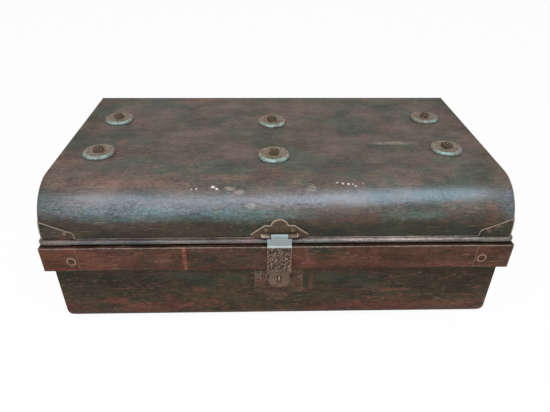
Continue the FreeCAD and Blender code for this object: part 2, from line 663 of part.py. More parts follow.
def lid_corners():
    """Four curved plates over the lid's lower corners.  Each is a piece of a thin skin laid over the
    lid's outside, trimmed to a leaf on the face and another on the end that slope down from the corner."""
    gauge = sheet_size("corner_plate")
    foot = BEAD + BEAD_ROLL + 0.4
    leaf = sheet_size("lid_corner_leg")
    corner_top = foot + sheet_size("lid_corner_height")
    tip_top = foot + sheet_size("lid_corner_tip")
    tip_round = sheet_size("lid_corner_round")
    core = solid_block("lid_core", [
        (LID_FRONT, foot - 5), (LID_FRONT, LID_TOP, LID_ROUND), (LID_BACK, LID_TOP, LID_EDGE),
        (LID_BACK, foot - 5),
    ], LID_HALF * 2)
    over = solid_block("lid_over", [
        (LID_FRONT - gauge, foot), (LID_FRONT - gauge, LID_TOP + gauge, LID_ROUND + gauge),
        (LID_BACK + gauge, LID_TOP + gauge, LID_EDGE + gauge), (LID_BACK + gauge, foot),
    ], (LID_HALF + gauge) * 2)
    skin = doc.addObject("Part::Cut", "lid_skin")
    skin.Base, skin.Tool = over, core
    places = []
    for name, side, depth in CORNERS:
        face = LID_BACK if depth > 0 else LID_FRONT
        edge_x, edge_y = side * (LID_HALF + gauge + 1), face + depth * (gauge + 1)
        mask = new_body("lid_corner_mask_" + name)
        front_leaf = flat_sketch(mask, "XZ", face - depth * 4)
        tip = side * (LID_HALF - leaf)
        draw(front_leaf, [
            (edge_x, foot - 1), (edge_x, corner_top), (tip, tip_top, tip_round), (tip, foot - 1),
        ])
        pad(mask, front_leaf, 24, both_ways=True)
        end_leaf = flat_sketch(mask, "YZ", side * LID_HALF)
        tip = face - depth * leaf
        draw(end_leaf, [
            (edge_y, foot - 1), (edge_y, corner_top), (tip, tip_top, tip_round), (tip, foot - 1),
        ])
        pad(mask, end_leaf, 3, both_ways=True)
        plate = doc.addObject("Part::Common", "lid_corner_" + name)
        plate.Base, plate.Tool = skin, mask
        drilled = drill_through("lid_corner_" + name, plate, side, depth, face)
        keep("lid_corner_" + name, drilled)
        inward = sheet_size("lid_rivet_in")
        spot = (face + depth * gauge, LID_CORNER_RIVET, (0, depth, 0), 0)
        if depth < 0:
            spot = square_to_lid_front(LID_CORNER_RIVET, gauge)
        places.append((side * (LID_HALF - inward),) + spot)
        places.append((side * (LID_HALF + gauge), face - depth * inward, LID_CORNER_RIVET,
                       (side, 0, 0), 0))
    copies("lid_corner_rivets", round_rivet("lid_corner_rivet", gauge + 0.1), places)


def drill_through(name, plate, side, depth, face):
    """Two rivet holes in a lid corner plate: one through its face, one through its end."""
    inward = sheet_size("lid_rivet_in")
    holes = []
    for axis, x, y in (
        ((0, 1, 0), side * (LID_HALF - inward), face - 5),
        ((1, 0, 0), side * LID_HALF - 5, face - depth * inward),
    ):
        hole = doc.addObject("Part::Cylinder", name + "_hole")
        hole.Placement.Rotation = FreeCAD.Rotation(FreeCAD.Vector(0, 0, 1), FreeCAD.Vector(*axis))
        bind(hole, {"Radius": RIVET_HOLE, "Height": 10, "Placement.Base.x": x,
                    "Placement.Base.y": y, "Placement.Base.z": LID_CORNER_RIVET})
        holes.append(hole)
    both = doc.addObject("Part::MultiFuse", name + "_holes")
    both.Shapes = holes
    drilled = doc.addObject("Part::Cut", name + "_drilled")
    drilled.Base, drilled.Tool = plate, both
    return drilled


def round_rivet(name, outer_plate):
    """A small rivet with a domed head, through an outer plate and a sheet."""
    inner = -(outer_plate + THICK)
    return turned(name, [
        (0, 2.2), (4, 2.2, 2.1), (4, 0), (SMALL_RIVET, 0), (SMALL_RIVET, inner), (3.4, inner),
        (3.4, inner - 0.8), (0, inner - 0.8),
    ])


# --------------------------------------------------------------------------------------------------
# Hasp, its hinge plate, the lock plate and the staple
# --------------------------------------------------------------------------------------------------
def staple_slot():
    """The opening that the staple fills in the lock plate and the body."""
    half = sheet_size("staple_gauge") / 2 + 0.05
    middle = sheet_size("staple_middle")
    return [
        (HASP_X - half, middle - 4.05), (HASP_X + half, middle - 4.05),
        (HASP_X + half, middle + 4.05), (HASP_X - half, middle + 4.05),
    ]


def mirrored(points):
    """A symmetrical outline about the hasp's middle, from the points of its right half."""
    left = [(-point[0],) + tuple(point[1:]) for point in reversed(points)]
    return [(HASP_X + point[0],) + tuple(point[1:]) for point in list(points) + left]


def lock_plate():
    """The lobed plate that the staple stands on, and its rivets."""
    gauge = sheet_size("lock_plate_gauge")
    half = sheet_size("lock_plate_half")
    plate = new_body("lock_plate")
    sketch = flat_sketch(plate, "XZ", BODY_FRONT)
    foot = sheet_size("lock_plate_foot")
    point_half, side_round, waist_round, tip_round = 25, 6, 7, 15
    right_half = [(half, sheet_size("lock_plate_top")), (half, foot, side_round),
                  (point_half, foot, waist_round)]
    outline = mirrored(right_half)
    outline.insert(len(right_half), (HASP_X, sheet_size("lock_plate_tip"), tip_round))
    draw(sketch, outline)
    pad(plate, sketch, gauge)
    slot = flat_sketch(plate, "XZ", BODY_FRONT)
    draw(slot, staple_slot())
    cut_out(plate, slot, 4)
    drill(plate, "XZ", BODY_FRONT, LOCK_RIVETS + [LOCK_HOLE], RIVET_HOLE)
    keep("lock_plate", plate)
    places = [(x, BODY_FRONT - gauge, z, (0, -1, 0), 0) for x, z in LOCK_RIVETS]
    copies("lock_plate_rivets", round_rivet("lock_plate_rivet", gauge), places)


def staple():
    """A flat bar through the body wall, headed over inside, with a round eye in front of the hasp."""
    gauge = sheet_size("staple_gauge")
    middle = sheet_size("staple_middle")
    tip = FRONT - sheet_size("staple_reach")
    bar = new_body("hasp_staple")
    side_view = flat_sketch(bar, "YZ", HASP_X)
    inside = BODY_FRONT + THICK
    bar_half, head_half, head, end_round = 4, 7, 2, 3.9
    draw(side_view, [
        (tip, middle - bar_half, end_round), (tip, middle + bar_half, end_round),
        (inside, middle + bar_half), (inside, middle + head_half), (inside + head, middle + head_half),
        (inside + head, middle - head_half), (inside, middle - head_half),
        (inside, middle - bar_half),
    ])
    pad(bar, side_view, gauge, both_ways=True)
    eye = flat_sketch(bar, "YZ", HASP_X)
    ring(eye, (tip + bar_half, middle), sheet_size("staple_eye"))
    cut_out(bar, eye, 5)
    keep("hasp_staple", bar)


def hasp_hinge_plate():
    """The lobed plate on the lid, bent to the lid's rounding, with two knuckles and a raised lobe."""
    gauge = sheet_size("hinge_plate_gauge")
    half = sheet_size("hinge_plate_half")
    low = HASP_PIN_Z - KNUCKLE
    foot = sheet_size("hinge_plate_foot")
    outer_round = LID_ROUND + gauge
    plate = new_body("hasp_hinge_plate")
    band = flat_sketch(plate, "YZ", HASP_X)
    draw(band, [
        (LID_FRONT - gauge, foot), (LID_FRONT - gauge, LID_TOP + gauge, outer_round),
        (LID_FRONT + LID_ROUND + 4, LID_TOP + gauge), (LID_FRONT + LID_ROUND + 4, LID_TOP),
        (LID_FRONT, LID_TOP, LID_ROUND), (LID_FRONT, foot),
    ])
    pad(plate, band, half * 2 + 10, both_ways=True)
    lobe = flat_sketch(plate, "YZ", HASP_X)
    lobe_foot = low + 3.5
    lobe_end = LID_FRONT + LID_ROUND + 3
    raised, sunk = sheet_size("hinge_plate_raise"), 0.6
    draw(lobe, [
        (LID_FRONT - raised, lobe_foot), (LID_FRONT - raised, LID_TOP + raised, LID_ROUND + raised),
        (lobe_end, LID_TOP + raised), (lobe_end, LID_TOP + sunk),
        (LID_FRONT - sunk, LID_TOP + sunk, LID_ROUND + sunk), (LID_FRONT - sunk, lobe_foot),
    ])
    pad(plate, lobe, sheet_size("hasp_knuckle"), both_ways=True)
    own = sheet_size("hasp_knuckle") / 2
    gap = sheet_size("knuckle_gap")
    side_length = sheet_size("side_knuckle")
    knuckle_room = flat_sketch(plate, "YZ", HASP_X)
    draw(knuckle_room, [
        (LID_FRONT - gauge, foot - 1), (LID_FRONT - gauge, HASP_PIN_Z + KNUCKLE + 0.7),
        (LID_FRONT - 8, HASP_PIN_Z + KNUCKLE + 0.7), (LID_FRONT - 8, foot - 1),
    ])
    cut_out(plate, knuckle_room, own + gap)
    trim = flat_sketch(plate, "XZ", LID_FRONT)
    draw(trim, [(HASP_X - 70, foot - 5), (HASP_X + 70, foot - 5), (HASP_X + 70, LID_TOP + 20),
                (HASP_X - 70, LID_TOP + 20)])
    shoulder = sheet_size("hinge_plate_shoulder")
    draw(trim, mirrored([
        (10.5, sheet_size("hinge_plate_top"), 14), (14.5, shoulder), (24, shoulder, 3),
        (half, sheet_size("hinge_plate_side"), 3), (half, low, 2), (half - 5, foot, 2),
    ]))
    cut_out(plate, trim, 100)
    for side in (-1, 1):
        middle = HASP_X + side * (own + gap + side_length / 2)
        root = flat_sketch(plate, "YZ", middle)
        draw(root, [(HASP_PIN_Y, low), (LID_FRONT, low), (LID_FRONT, low + sheet_size("hasp_gauge")),
                    (HASP_PIN_Y, low + sheet_size("hasp_gauge"))])
        pad(plate, root, side_length, both_ways=True)
        barrel = flat_sketch(plate, "YZ", middle)
        ring(barrel, (HASP_PIN_Y, HASP_PIN_Z), KNUCKLE)
        pad(plate, barrel, side_length, both_ways=True)
    drill(plate, "YZ", HASP_X, [(HASP_PIN_Y, HASP_PIN_Z)], sheet_size("hasp_pin_radius") + FIT, 60)
    drill(plate, "XZ", LID_FRONT, HASP_RIVETS, RIVET_HOLE + 0.15)
    keep("hasp_hinge_plate", plate)
    places = [(x,) + square_to_lid_front(up, gauge) for x, up in HASP_RIVETS]
    copies("hasp_plate_rivets", round_rivet("hasp_plate_rivet", gauge + 0.1), places)

    pin = new_body("hasp_pin")
    section = flat_sketch(pin, "YZ", HASP_X)
    ring(section, (HASP_PIN_Y, HASP_PIN_Z), sheet_size("hasp_pin_radius"))
    reach = own + gap + side_length + 1.5
    pad(pin, section, reach * 2, both_ways=True)
    for side in (-1, 1):
        head = flat_sketch(pin, "YZ", HASP_X + side * reach)
        ring(head, (HASP_PIN_Y, HASP_PIN_Z), sheet_size("hasp_pin_radius") + 0.8)
        pad(pin, head, 1.2, backwards=side < 0)
    keep("hasp_pin", pin)


def hasp_strap():
    """The hasp: rolled round its pin, sloping out over the bead, straight down over the skirt, and
    ending in a round lobe with the slot for the staple."""
    width = sheet_size("hasp_width")
    back_face = FRONT - sheet_size("hasp_gap")
    front_face = back_face - sheet_size("hasp_gauge")
    shoulder = sheet_size("hasp_shoulder")
    lobe = sheet_size("hasp_lobe")
    foot = sheet_size("hasp_foot")
    strap = new_body("hasp_strap")
    sloping = flat_sketch(strap, "YZ", HASP_X)
    root_front = (FRONT + 2.68, HASP_PIN_Z + 0.94)
    root_back = (FRONT + 4.51, HASP_PIN_Z + 0.42)
    draw(sloping, [root_front, (front_face, SKIRT_TOP, 3), (front_face, foot - 1),
                   (back_face, foot - 1), (back_face, SKIRT_TOP + 0.3, 1.5), root_back])
    pad(strap, sloping, width, both_ways=True)
    # the outline seen from the front: knuckle tongue, full width, notches, round lobe
    own = sheet_size("hasp_knuckle") / 2
    trim = flat_sketch(strap, "XZ", FRONT)
    draw(trim, [(HASP_X - 40, 60), (HASP_X + 40, 60), (HASP_X + 40, HASP_PIN_Z + 20),
                (HASP_X - 40, HASP_PIN_Z + 20)])
    tongue_foot = HASP_PIN_Z - 3.2
    notch = 2.5
    draw(trim, mirrored([
        (own, HASP_PIN_Z + 10), (own, tongue_foot), (width / 2, tongue_foot, 1),
        (width / 2, shoulder, 2), (lobe - notch, shoulder - notch, 1),
        (lobe, shoulder - 11, 12), (lobe, foot, 14.5),
    ]))
    cut_out(strap, trim, 30)
    roll = flat_sketch(strap, "YZ", HASP_X)
    ring(roll, (HASP_PIN_Y, HASP_PIN_Z), KNUCKLE)
    pad(strap, roll, own * 2, both_ways=True)
    bore = sheet_size("hasp_pin_radius") + FIT
    drill(strap, "YZ", HASP_X, [(HASP_PIN_Y, HASP_PIN_Z)], bore, 30)
    slot = flat_sketch(strap, "XZ", FRONT)
    slot_half = sheet_size("slot_width") / 2
    slot_top = sheet_size("slot_middle") + sheet_size("slot_height") / 2
    slot_low = sheet_size("slot_middle") - sheet_size("slot_height") / 2
    draw(slot, [(HASP_X - slot_half, slot_low, 2), (HASP_X + slot_half, slot_low, 2),
                (HASP_X + slot_half, slot_top, 2), (HASP_X - slot_half, slot_top, 2)])
    cut_out(strap, slot, 8)
    keep("hasp_strap", strap)


# --------------------------------------------------------------------------------------------------
# Battens, bolts, washers and nuts of the lid
# --------------------------------------------------------------------------------------------------
def lid_battens():
    """Three wooden battens under the flat of the lid, each held by two coach bolts."""
    gauge = sheet_size("batten_gauge")
    under = LID_TOP - THICK - gauge
    clear, chamfer, taper = 4, 5, 10
    start = LID_FRONT + LID_ROUND + clear
    finish = LID_BACK - LID_EDGE - clear
    for number, name in enumerate(("left", "middle", "right")):
        x = sheet_size(name + "_batten_x")
        half = sheet_size("batten_width") / 2
        batten = new_body("lid_batten_" + name)
        side_view = flat_sketch(batten, "YZ", x)
        draw(side_view, [
            (start, under + chamfer), (start + taper, under), (finish - taper, under),
            (finish, under + chamfer), (finish, under + gauge), (start, under + gauge),
        ])
        pad(batten, side_view, half * 2, both_ways=True)
        drill(batten, "XY", under, BOLTS[2 * number:2 * number + 2], sheet_size("bolt_radius") + 0.1,
              20)
        keep("lid_batten_" + name, batten)


def lid_bolts():
    """Coach bolts, dished washers and square nuts on the lid."""
    shank = sheet_size("bolt_radius")
    head = sheet_size("bolt_head")
    seat = sheet_size("washer_seat")
    grip = sheet_size("batten_gauge") + THICK
    end = seat + sheet_size("nut_height") + 4
    bolt = turned("coach_bolt", [
        (0, -grip - 4.5), (head * 0.55, -grip - 4), (head, -grip - 1.5, 2), (head, -grip),
        (shank, -grip), (shank, end, 2.6), (0, end),
    ])
    rim = sheet_size("washer_radius")
    height = sheet_size("washer_height")
    gauge = sheet_size("washer_gauge")
    hole = shank + 0.3
    washer = turned("dished_washer", [
        (hole, seat), (12, seat), (rim - 6.5, height, 3), (rim - 1, height - 1.6, 2.5), (rim, 0),
        (rim - gauge, 0), (rim - gauge - 1, height - gauge - 1.3, 1.2),
        (rim - 7, height - gauge, 3), (12, seat - gauge), (hole, seat - gauge),
    ])
    nut = new_body("square_nut")
    plan = flat_sketch(nut, "XY", seat)
    half = sheet_size("nut_width") / 2
    draw(plan, [(-half, -half), (half, -half), (half, half), (-half, half)])
    pad(nut, plan, sheet_size("nut_height"))
    bore = flat_sketch(nut, "XY", seat)
    ring(bore, (0, 0), shank + 0.1)
    cut_out(nut, bore, 20)
    bevel_tool = nut.newObject("PartDesign::Groove", "corner_bevel")
    bevel = flat_sketch(nut, "XZ")
    top = seat + sheet_size("nut_height")
    draw(bevel, [(half + 0.8, top + 1), (half + 8, top + 1), (half + 8, top - 5.2)])
    bevel_tool.Profile = bevel
    bevel_tool.ReferenceAxis = (bevel, ["V_Axis"])
    bevel_tool.Angle = 360
    nut.Tip = bevel_tool
    upright = (0, 0, 1)
    turns = (8, 31, -12, 22, 14, -27)
    for name, pattern in (("lid_bolts", bolt), ("lid_washers", washer), ("lid_nuts", nut)):
        places = [(x, y, LID_TOP, upright, turn) for (x, y), turn in zip(BOLTS, turns)]
        copies(name, pattern, places)


# --------------------------------------------------------------------------------------------------
# Back hinges
# --------------------------------------------------------------------------------------------------
def back_hinges():
    """Two hinges: the upper leaf on the skirt, the lower leaf cranked in to the body, and a pin."""
    gauge = sheet_size("hinge_gauge")
    gap = sheet_size("hinge_gap")
    barrel = sheet_size("hinge_barrel")
    half = sheet_size("hinge_width") / 2
    third = sheet_size("hinge_width") / 3
    pin_y = BACK + gap + barrel
    pin_z = SKIRT_LOW
    bore = sheet_size("hinge_pin_radius") + FIT
    low = pin_z - sheet_size("hinge_crank")
    foot = sheet_size("hinge_foot")
    tab = third / 2 - 0.4
    shoulder = pin_z + 5
    leaf_top = SKIRT_TOP - 3
    rivets_upper, rivets_lower = [], []
    for name, side in (("left", -1), ("right", 1)):
        x = side * sheet_size("hinge_x")
        upper = new_body("hinge_upper_leaf_" + name)
        face = flat_sketch(upper, "XZ", BACK)
        draw(face, [
            (x - tab, pin_z), (x + tab, pin_z), (x + tab, shoulder), (x + half, shoulder),
            (x + half, leaf_top, 5), (x - half, leaf_top, 5), (x - half, shoulder), (x - tab, shoulder),
        ])
        pad(upper, face, gauge, backwards=True)
        roll = flat_sketch(upper, "YZ", x)
        ring(roll, (pin_y, pin_z), barrel)
        pad(upper, roll, tab * 2, both_ways=True)
        drill(upper, "YZ", x, [(pin_y, pin_z)], bore, half)
        holes = hinge_rivet_places(x, HINGE_RIVETS_UPPER)
        drill(upper, "XZ", BACK, holes, RIVET_HOLE)
        keep("hinge_upper_leaf_" + name, upper)
        rivets_upper += [(across, BACK + gauge, up, (0, 1, 0), 0) for across, up in holes]

        lower = new_body("hinge_lower_leaf_" + name)
        section = flat_sketch(lower, "YZ", x)
        draw(section, [
            (BODY_BACK, foot), (BODY_BACK, low), (BACK + gap, low), (BACK + gap, pin_z),
            (BACK + gap + gauge, pin_z), (BACK + gap + gauge, low - gauge),
            (BODY_BACK + gauge, low - gauge), (BODY_BACK + gauge, foot),
        ])
        pad(lower, section, half * 2, both_ways=True)
        window = flat_sketch(lower, "XZ", BACK)
        draw(window, [(x - third / 2, low + 0.01), (x + third / 2, low + 0.01),
                      (x + third / 2, pin_z + 8), (x - third / 2, pin_z + 8)])
        cut_out(lower, window, 14)
        for place in (-1, 1):
            roll = flat_sketch(lower, "YZ", x + place * third)
            ring(roll, (pin_y, pin_z), barrel)
            pad(lower, roll, third, both_ways=True)
        drill(lower, "YZ", x, [(pin_y, pin_z)], bore, half + 1)
        holes = hinge_rivet_places(x, HINGE_RIVETS_LOWER)
        drill(lower, "XZ", BODY_BACK, holes, RIVET_HOLE)
        keep("hinge_lower_leaf_" + name, lower)
        rivets_lower += [(across, BODY_BACK + gauge, up, (0, 1, 0), 0) for across, up in holes]

        pin = new_body("hinge_pin_" + name)
        section = flat_sketch(pin, "YZ", x)
        ring(section, (pin_y, pin_z), sheet_size("hinge_pin_radius"))
        pad(pin, section, half * 2 + 2, both_ways=True)
        for place in (-1, 1):
            head = flat_sketch(pin, "YZ", x + place * (half + 0.6))
            ring(head, (pin_y, pin_z), barrel - 0.8)
            pad(pin, head, 1.4, backwards=place < 0)
        keep("hinge_pin_" + name, pin)
    hinge_rivet = round_rivet("hinge_rivet", gauge)
    copies("hinge_upper_rivets", hinge_rivet, rivets_upper)
    copies("hinge_lower_rivets", hinge_rivet, rivets_lower)


# --------------------------------------------------------------------------------------------------
# Handles
# --------------------------------------------------------------------------------------------------
def handle_rivet_places():
    """Rivets of a handle plate, as (along Y, up)."""
    height = sheet_size("handle_height")
    out = sheet_size("handle_plate_half") - sheet_size("handle_rivet_in")
    rise = sheet_size("handle_rivet_rise")
    return [(MIDDLE + side * out, height + up) for side in (-1, 1) for up in (-rise, rise)]


def handles():
    """Drop handles on both ends: plate, two strap eyes and a bail of round bar."""
    plate_gauge = sheet_size("handle_plate_gauge")
    rod = sheet_size("handle_rod")
    bore = rod + sheet_size("handle_play")
    height = sheet_size("handle_height")
    arm = sheet_size("handle_half")
    stub = sheet_size("handle_stub")
    strap = sheet_size("eye_gauge")
    wide = sheet_size("eye_width")
    plate_half = sheet_size("handle_plate_half")
    plate_rise = sheet_size("handle_plate_rise")
    foot = sheet_size("eye_foot")
    elbow, behind_depth = 5, 12
    rivets = []
    for name, side in (("left", -1), ("right", 1)):
        face = side * BODY_HALF
        outer = side * (BODY_HALF + plate_gauge)
        pivot = side * (BODY_HALF + plate_gauge + bore + 0.1)
        plate = new_body("handle_plate_" + name)
        outline = flat_sketch(plate, "YZ", face)
        draw(outline, [
            (MIDDLE - plate_half, height - plate_rise, 6), (MIDDLE + plate_half, height - plate_rise, 6),
            (MIDDLE + plate_half, height + plate_rise, 6), (MIDDLE - plate_half, height + plate_rise, 6),
        ])
        pad(plate, outline, plate_gauge, backwards=side < 0)
        drill(plate, "YZ", face, handle_rivet_places(), RIVET_HOLE)
        keep("handle_plate_" + name, plate)
        rivets += [(outer, across, up, (side, 0, 0), 0) for across, up in handle_rivet_places()]

        eyes = []
        for number, place in enumerate((-1, 1)):
            middle = MIDDLE + place * (arm - stub / 2 - 3)
            eye = new_body(f"handle_eye_{name}_{number}")
            feet = flat_sketch(eye, "XZ", middle)
            draw(feet, [(outer, height - foot), (outer + side * strap, height - foot),
                        (outer + side * strap, height + foot), (outer, height + foot)])
            pad(eye, feet, wide, both_ways=True)
            hoop = flat_sketch(eye, "XZ", middle)
            ring(hoop, (pivot, height), bore + strap)
            pad(eye, hoop, wide, both_ways=True)
            drill(eye, "XZ", middle, [(pivot, height)], bore, 20)
            behind = flat_sketch(eye, "XZ", middle)
            back = outer - side * behind_depth
            draw(behind, [(outer, height - foot - 5), (back, height - foot - 5),
                          (back, height + foot + 5), (outer, height + foot + 5)])
            cut_out(eye, behind, 20)
            eyes.append(eye)
        pair = doc.addObject("Part::Compound", "handle_eyes_" + name)
        pair.Links = eyes
        keep("handle_eyes_" + name, pair)

        low = height - sheet_size("handle_drop")
        bend = sheet_size("handle_bend")
        corners = [
            (MIDDLE - arm + stub, height), (MIDDLE - arm, height, elbow), (MIDDLE - arm, low, bend),
            (MIDDLE + arm, low, bend), (MIDDLE + arm, height, elbow), (MIDDLE + arm - stub, height),
        ]
        bail = bent_rod("handle_" + name, "YZ", pivot, corners, False, "XZ", MIDDLE - arm + stub,
                        (pivot, height), rod)
        keep("handle_" + name, bail)
    copies("handle_rivets", round_rivet("handle_rivet", plate_gauge), rivets)


# --------------------------------------------------------------------------------------------------
# Build, check and write
# --------------------------------------------------------------------------------------------------
for make in (body_sheets, lid_sheets, skirt, skirt_corners, lid_corners, lock_plate, staple,
             hasp_hinge_plate, hasp_strap, lid_battens, lid_bolts, back_hinges, handles):
    make()
doc.recompute()

failed = [
    f"{thing.Name} of {', '.join(user.Label for user in thing.InList)}"
    for thing in doc.Objects if "Invalid" in thing.State or "Error" in thing.State
]
if failed:
    raise RuntimeError("These did not compute: " + "; ".join(failed))
for thing in doc.Objects:
    if thing.TypeId == "PartDesign::Pocket":
        before = thing.BaseFeature.Shape.Volume
        if thing.Shape.Volume >= before - 1e-3:
            raise RuntimeError(f"{thing.Name} of {thing.BaseFeature.Name} cuts nothing")

os.makedirs("parts", exist_ok=True)
for name, thing in PARTS.items():
    shape = thing.Shape
    if shape.isNull() or not shape.isValid() or not shape.Solids:
        raise RuntimeError(f"{name} has no valid solid")
    shape.exportStep(f"parts/{name}.step")
    size = shape.BoundBox
    print(f"{name}: {len(shape.Solids)} solid(s), {size.XLength:.1f} x {size.YLength:.1f} x "
          f"{size.ZLength:.1f} mm, {shape.Volume / 1000:.1f} cm3")
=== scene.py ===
"""Old steel travelling trunk: skins, fittings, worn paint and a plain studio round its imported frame.

Metres, in the frame's own axes: X to the right seen from the hasp, Y to the back, Z up.
"""
import math

import bmesh
import bpy
from bpy.props import FloatProperty, FloatVectorProperty, PointerProperty
from mathutils import Matrix, Vector, kdtree, noise


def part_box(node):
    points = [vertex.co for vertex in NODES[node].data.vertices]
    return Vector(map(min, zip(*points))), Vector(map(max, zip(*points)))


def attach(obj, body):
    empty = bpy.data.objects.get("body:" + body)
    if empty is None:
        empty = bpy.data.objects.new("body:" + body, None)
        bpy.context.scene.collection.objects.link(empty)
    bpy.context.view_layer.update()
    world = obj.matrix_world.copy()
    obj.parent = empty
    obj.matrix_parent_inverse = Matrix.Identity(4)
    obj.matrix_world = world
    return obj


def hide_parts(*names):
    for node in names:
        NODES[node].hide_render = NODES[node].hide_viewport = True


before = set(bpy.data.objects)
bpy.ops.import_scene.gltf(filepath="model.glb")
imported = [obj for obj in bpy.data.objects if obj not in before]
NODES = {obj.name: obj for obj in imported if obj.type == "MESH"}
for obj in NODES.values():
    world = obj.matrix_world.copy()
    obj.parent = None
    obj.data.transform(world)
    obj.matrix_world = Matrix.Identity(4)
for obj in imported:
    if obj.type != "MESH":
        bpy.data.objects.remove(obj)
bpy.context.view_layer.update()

bl_info = {
    "name": "Steel travelling trunk",
    "version": (1, 0, 0),
    "blender": (4, 5, 0),
    "location": "3D View > Sidebar > Trunk",
    "description": "Dresses the packed frame of a painted sheet-steel trunk with a rounded lid front",
    "category": "Object",
}

MM = 0.001
X_AXIS, Y_AXIS, Z_AXIS = Vector((1, 0, 0)), Vector((0, 1, 0)), Vector((0, 0, 1))
SIDES = ("left", "right")


def tone(red, green, blue):
    """A paint tone on the 0 to 255 scale as scene-linear colour."""
    def linear(level):
        level /= 255
        return level / 12.92 if level <= 0.04045 else ((level + 0.055) / 1.055) ** 2.4
    return tuple(linear(level) for level in (red, green, blue))


def colour_property(name, description, default):
    return FloatVectorProperty(name=name, description=description, subtype="COLOR", size=3,
                               min=0.0, max=1.0, default=default)


def length_property(name, description, default):
    return FloatProperty(name=name, description=description, subtype="DISTANCE", unit="LENGTH",
                         min=0.0, default=default)


# --------------------------------------------------------------------------------------------------
# What a user would change
# --------------------------------------------------------------------------------------------------
class TrunkSizes(bpy.types.PropertyGroup):
    """Sizes of the dressed sheets and fittings."""
    sheet: length_property("Sheet", "Thickness of the lid sheet", 1.0 * MM)
    bead_roll: length_property("Bead roll", "Outer radius of the lid's rolled edge", 3.8 * MM)
    front_round: length_property("Front rounding", "Radius of the lid's front edge", 72 * MM)
    back_round: length_property("Back rounding", "Radius of the lid's back edge", 8 * MM)
    dent_depth: length_property("Dents", "Depth of the soft waves in the sheets", 1.0 * MM)
    skirt_wave: length_property("Skirt wave", "How far the skirt waves in and out", 0.5 * MM)
    edge_round: length_property("Edge rounding", "Rounding of the fittings' edges", 0.3 * MM)
    edge_wear: length_property("Edge wear", "Width of the rubbed band along an edge", 1.0 * MM)
    corner_knock: length_property("Knocked corners", "How far the lower corners are rounded",
                                  26 * MM)
    stipple_depth: length_property("Stipple", "Depth of the hasp's stippled face", 0.5 * MM)
    cover_gauge: length_property("Bead cover", "Thickness of the plates over the bead's corners",
                                 0.6 * MM)
    cover_set_in: length_property("Bead cover's set-in", "How far its end leg sits inwards",
                                  0.55 * MM)
    washer_radius: length_property("Washer", "Outer radius of a dished washer", 28 * MM)


class TrunkColours(bpy.types.PropertyGroup):
    """Paint, rust and metal tones."""
    brown: colour_property("Brown enamel", "Main coat", tone(60, 49, 35))
    top_brown: colour_property("Faded brown", "Main coat on top of the lid", tone(88, 74, 65))
    top_green: colour_property("Faded green", "Green coat on top of the lid", tone(62, 68, 57))
    top_oxide: colour_property("Faded oxide", "Primer on top of the lid", tone(104, 72, 61))
    green: colour_property("Green enamel", "Older green coat", tone(42, 48, 35))
    oxide: colour_property("Red oxide", "Primer that shows through", tone(86, 52, 42))
    skirt: colour_property("Skirt enamel", "Main coat of the skirt", tone(76, 48, 33))
    body: colour_property("Body enamel", "Main coat of the body", tone(61, 51, 35))
    plate: colour_property("Plate enamel", "Coat of the lock plates", tone(80, 58, 42))
    scratch: colour_property("Scratch", "Pale lines of a scratched coat", tone(160, 146, 130))
    scuff: colour_property("Scuff", "Chalky green speckle", tone(130, 156, 150))
    steel: colour_property("Bare steel", "Rubbed metal", tone(170, 166, 156))
    rust: colour_property("Rust", "Rusted steel", tone(112, 66, 40))
    # the verdigris tone also serves as the painted glint on the washers' front rims
    verdigris_and_glint: colour_property("Verdigris", "Green film on the washers", tone(150, 180, 172))
    red_line: colour_property("Red line", "Thin lines where primer shows", tone(126, 76, 66))
    chalk: colour_property("Chalk", "White flecks", tone(226, 220, 212))
    wood: colour_property("Wood", "Inner battens", tone(150, 112, 74))


class TrunkStudio(bpy.types.PropertyGroup):
    """Light, floor and camera."""
    key_power: FloatProperty(name="Front light", description="Power of the soft light in front",
                             unit="POWER", min=0.0, default=42.0)
    key_colour: colour_property("Front light colour", "Nearly neutral", (0.95, 0.97, 1.0))
    window_power: FloatProperty(name="High window", description="Power of the gloss from above",
                                unit="POWER", min=0.0, default=40.0)
    low_window_power: FloatProperty(name="Low window", description="Power of the gloss from the left",
                                    unit="POWER", min=0.0, default=23.0)
    window_colour: colour_property("Window colour", "Cool daylight", (0.52, 0.75, 1.0))
    sky: FloatProperty(name="Sky", description="Strength of the even light all round", min=0.0,
                       default=0.36)
    sky_colour: colour_property("Sky colour", "Slightly warm", (1.0, 0.965, 0.93))
    floor: colour_property("Floor", "Pale floor", (0.86, 0.86, 0.86))
    lens: FloatProperty(name="Lens", description="Focal length", unit="CAMERA", default=31.43)


# --------------------------------------------------------------------------------------------------
# Mesh helpers
# --------------------------------------------------------------------------------------------------
WELD = 0.01 * MM            # points closer than this are one
HALF_RUB = 0.3              # rub mark of a face too narrow for a band of its own
NARROW = 0.4                # share of the rubbed band below which a face counts as narrow


def sizes():
    return bpy.context.scene.trunk_sizes


def colours():
    return bpy.context.scene.trunk_colours


def all_of(bm):
    return [*bm.verts, *bm.edges, *bm.faces]


def run(bm, geometry, vector, steps=1):
    """Draws geometry out in a straight line; returns what the last step made."""
    made = bmesh.ops.spin(bm, geom=geometry, angle=0.0, steps=steps, dvec=Vector(vector) / steps,
                          axis=Z_AXIS, cent=(0, 0, 0))
    return made["geom_last"]


def turn(bm, geometry, centre, axis, degrees, steps, merge=False):
    """Draws geometry out round an axis; returns what the last step made."""
    made = bmesh.ops.spin(bm, geom=geometry, angle=math.radians(degrees), steps=steps, axis=axis,
                          cent=centre, dvec=(0, 0, 0), use_merge=merge)
    return made["geom_last"]


def weld(bm):
    bmesh.ops.remove_doubles(bm, verts=bm.verts, dist=WELD)


def face_up(bm):
    """Turns a sheet's faces over, if more of it looks down than up."""
    if sum(face.normal.z * face.calc_area() for face in bm.faces) < 0:
        bmesh.ops.reverse_faces(bm, faces=bm.faces)


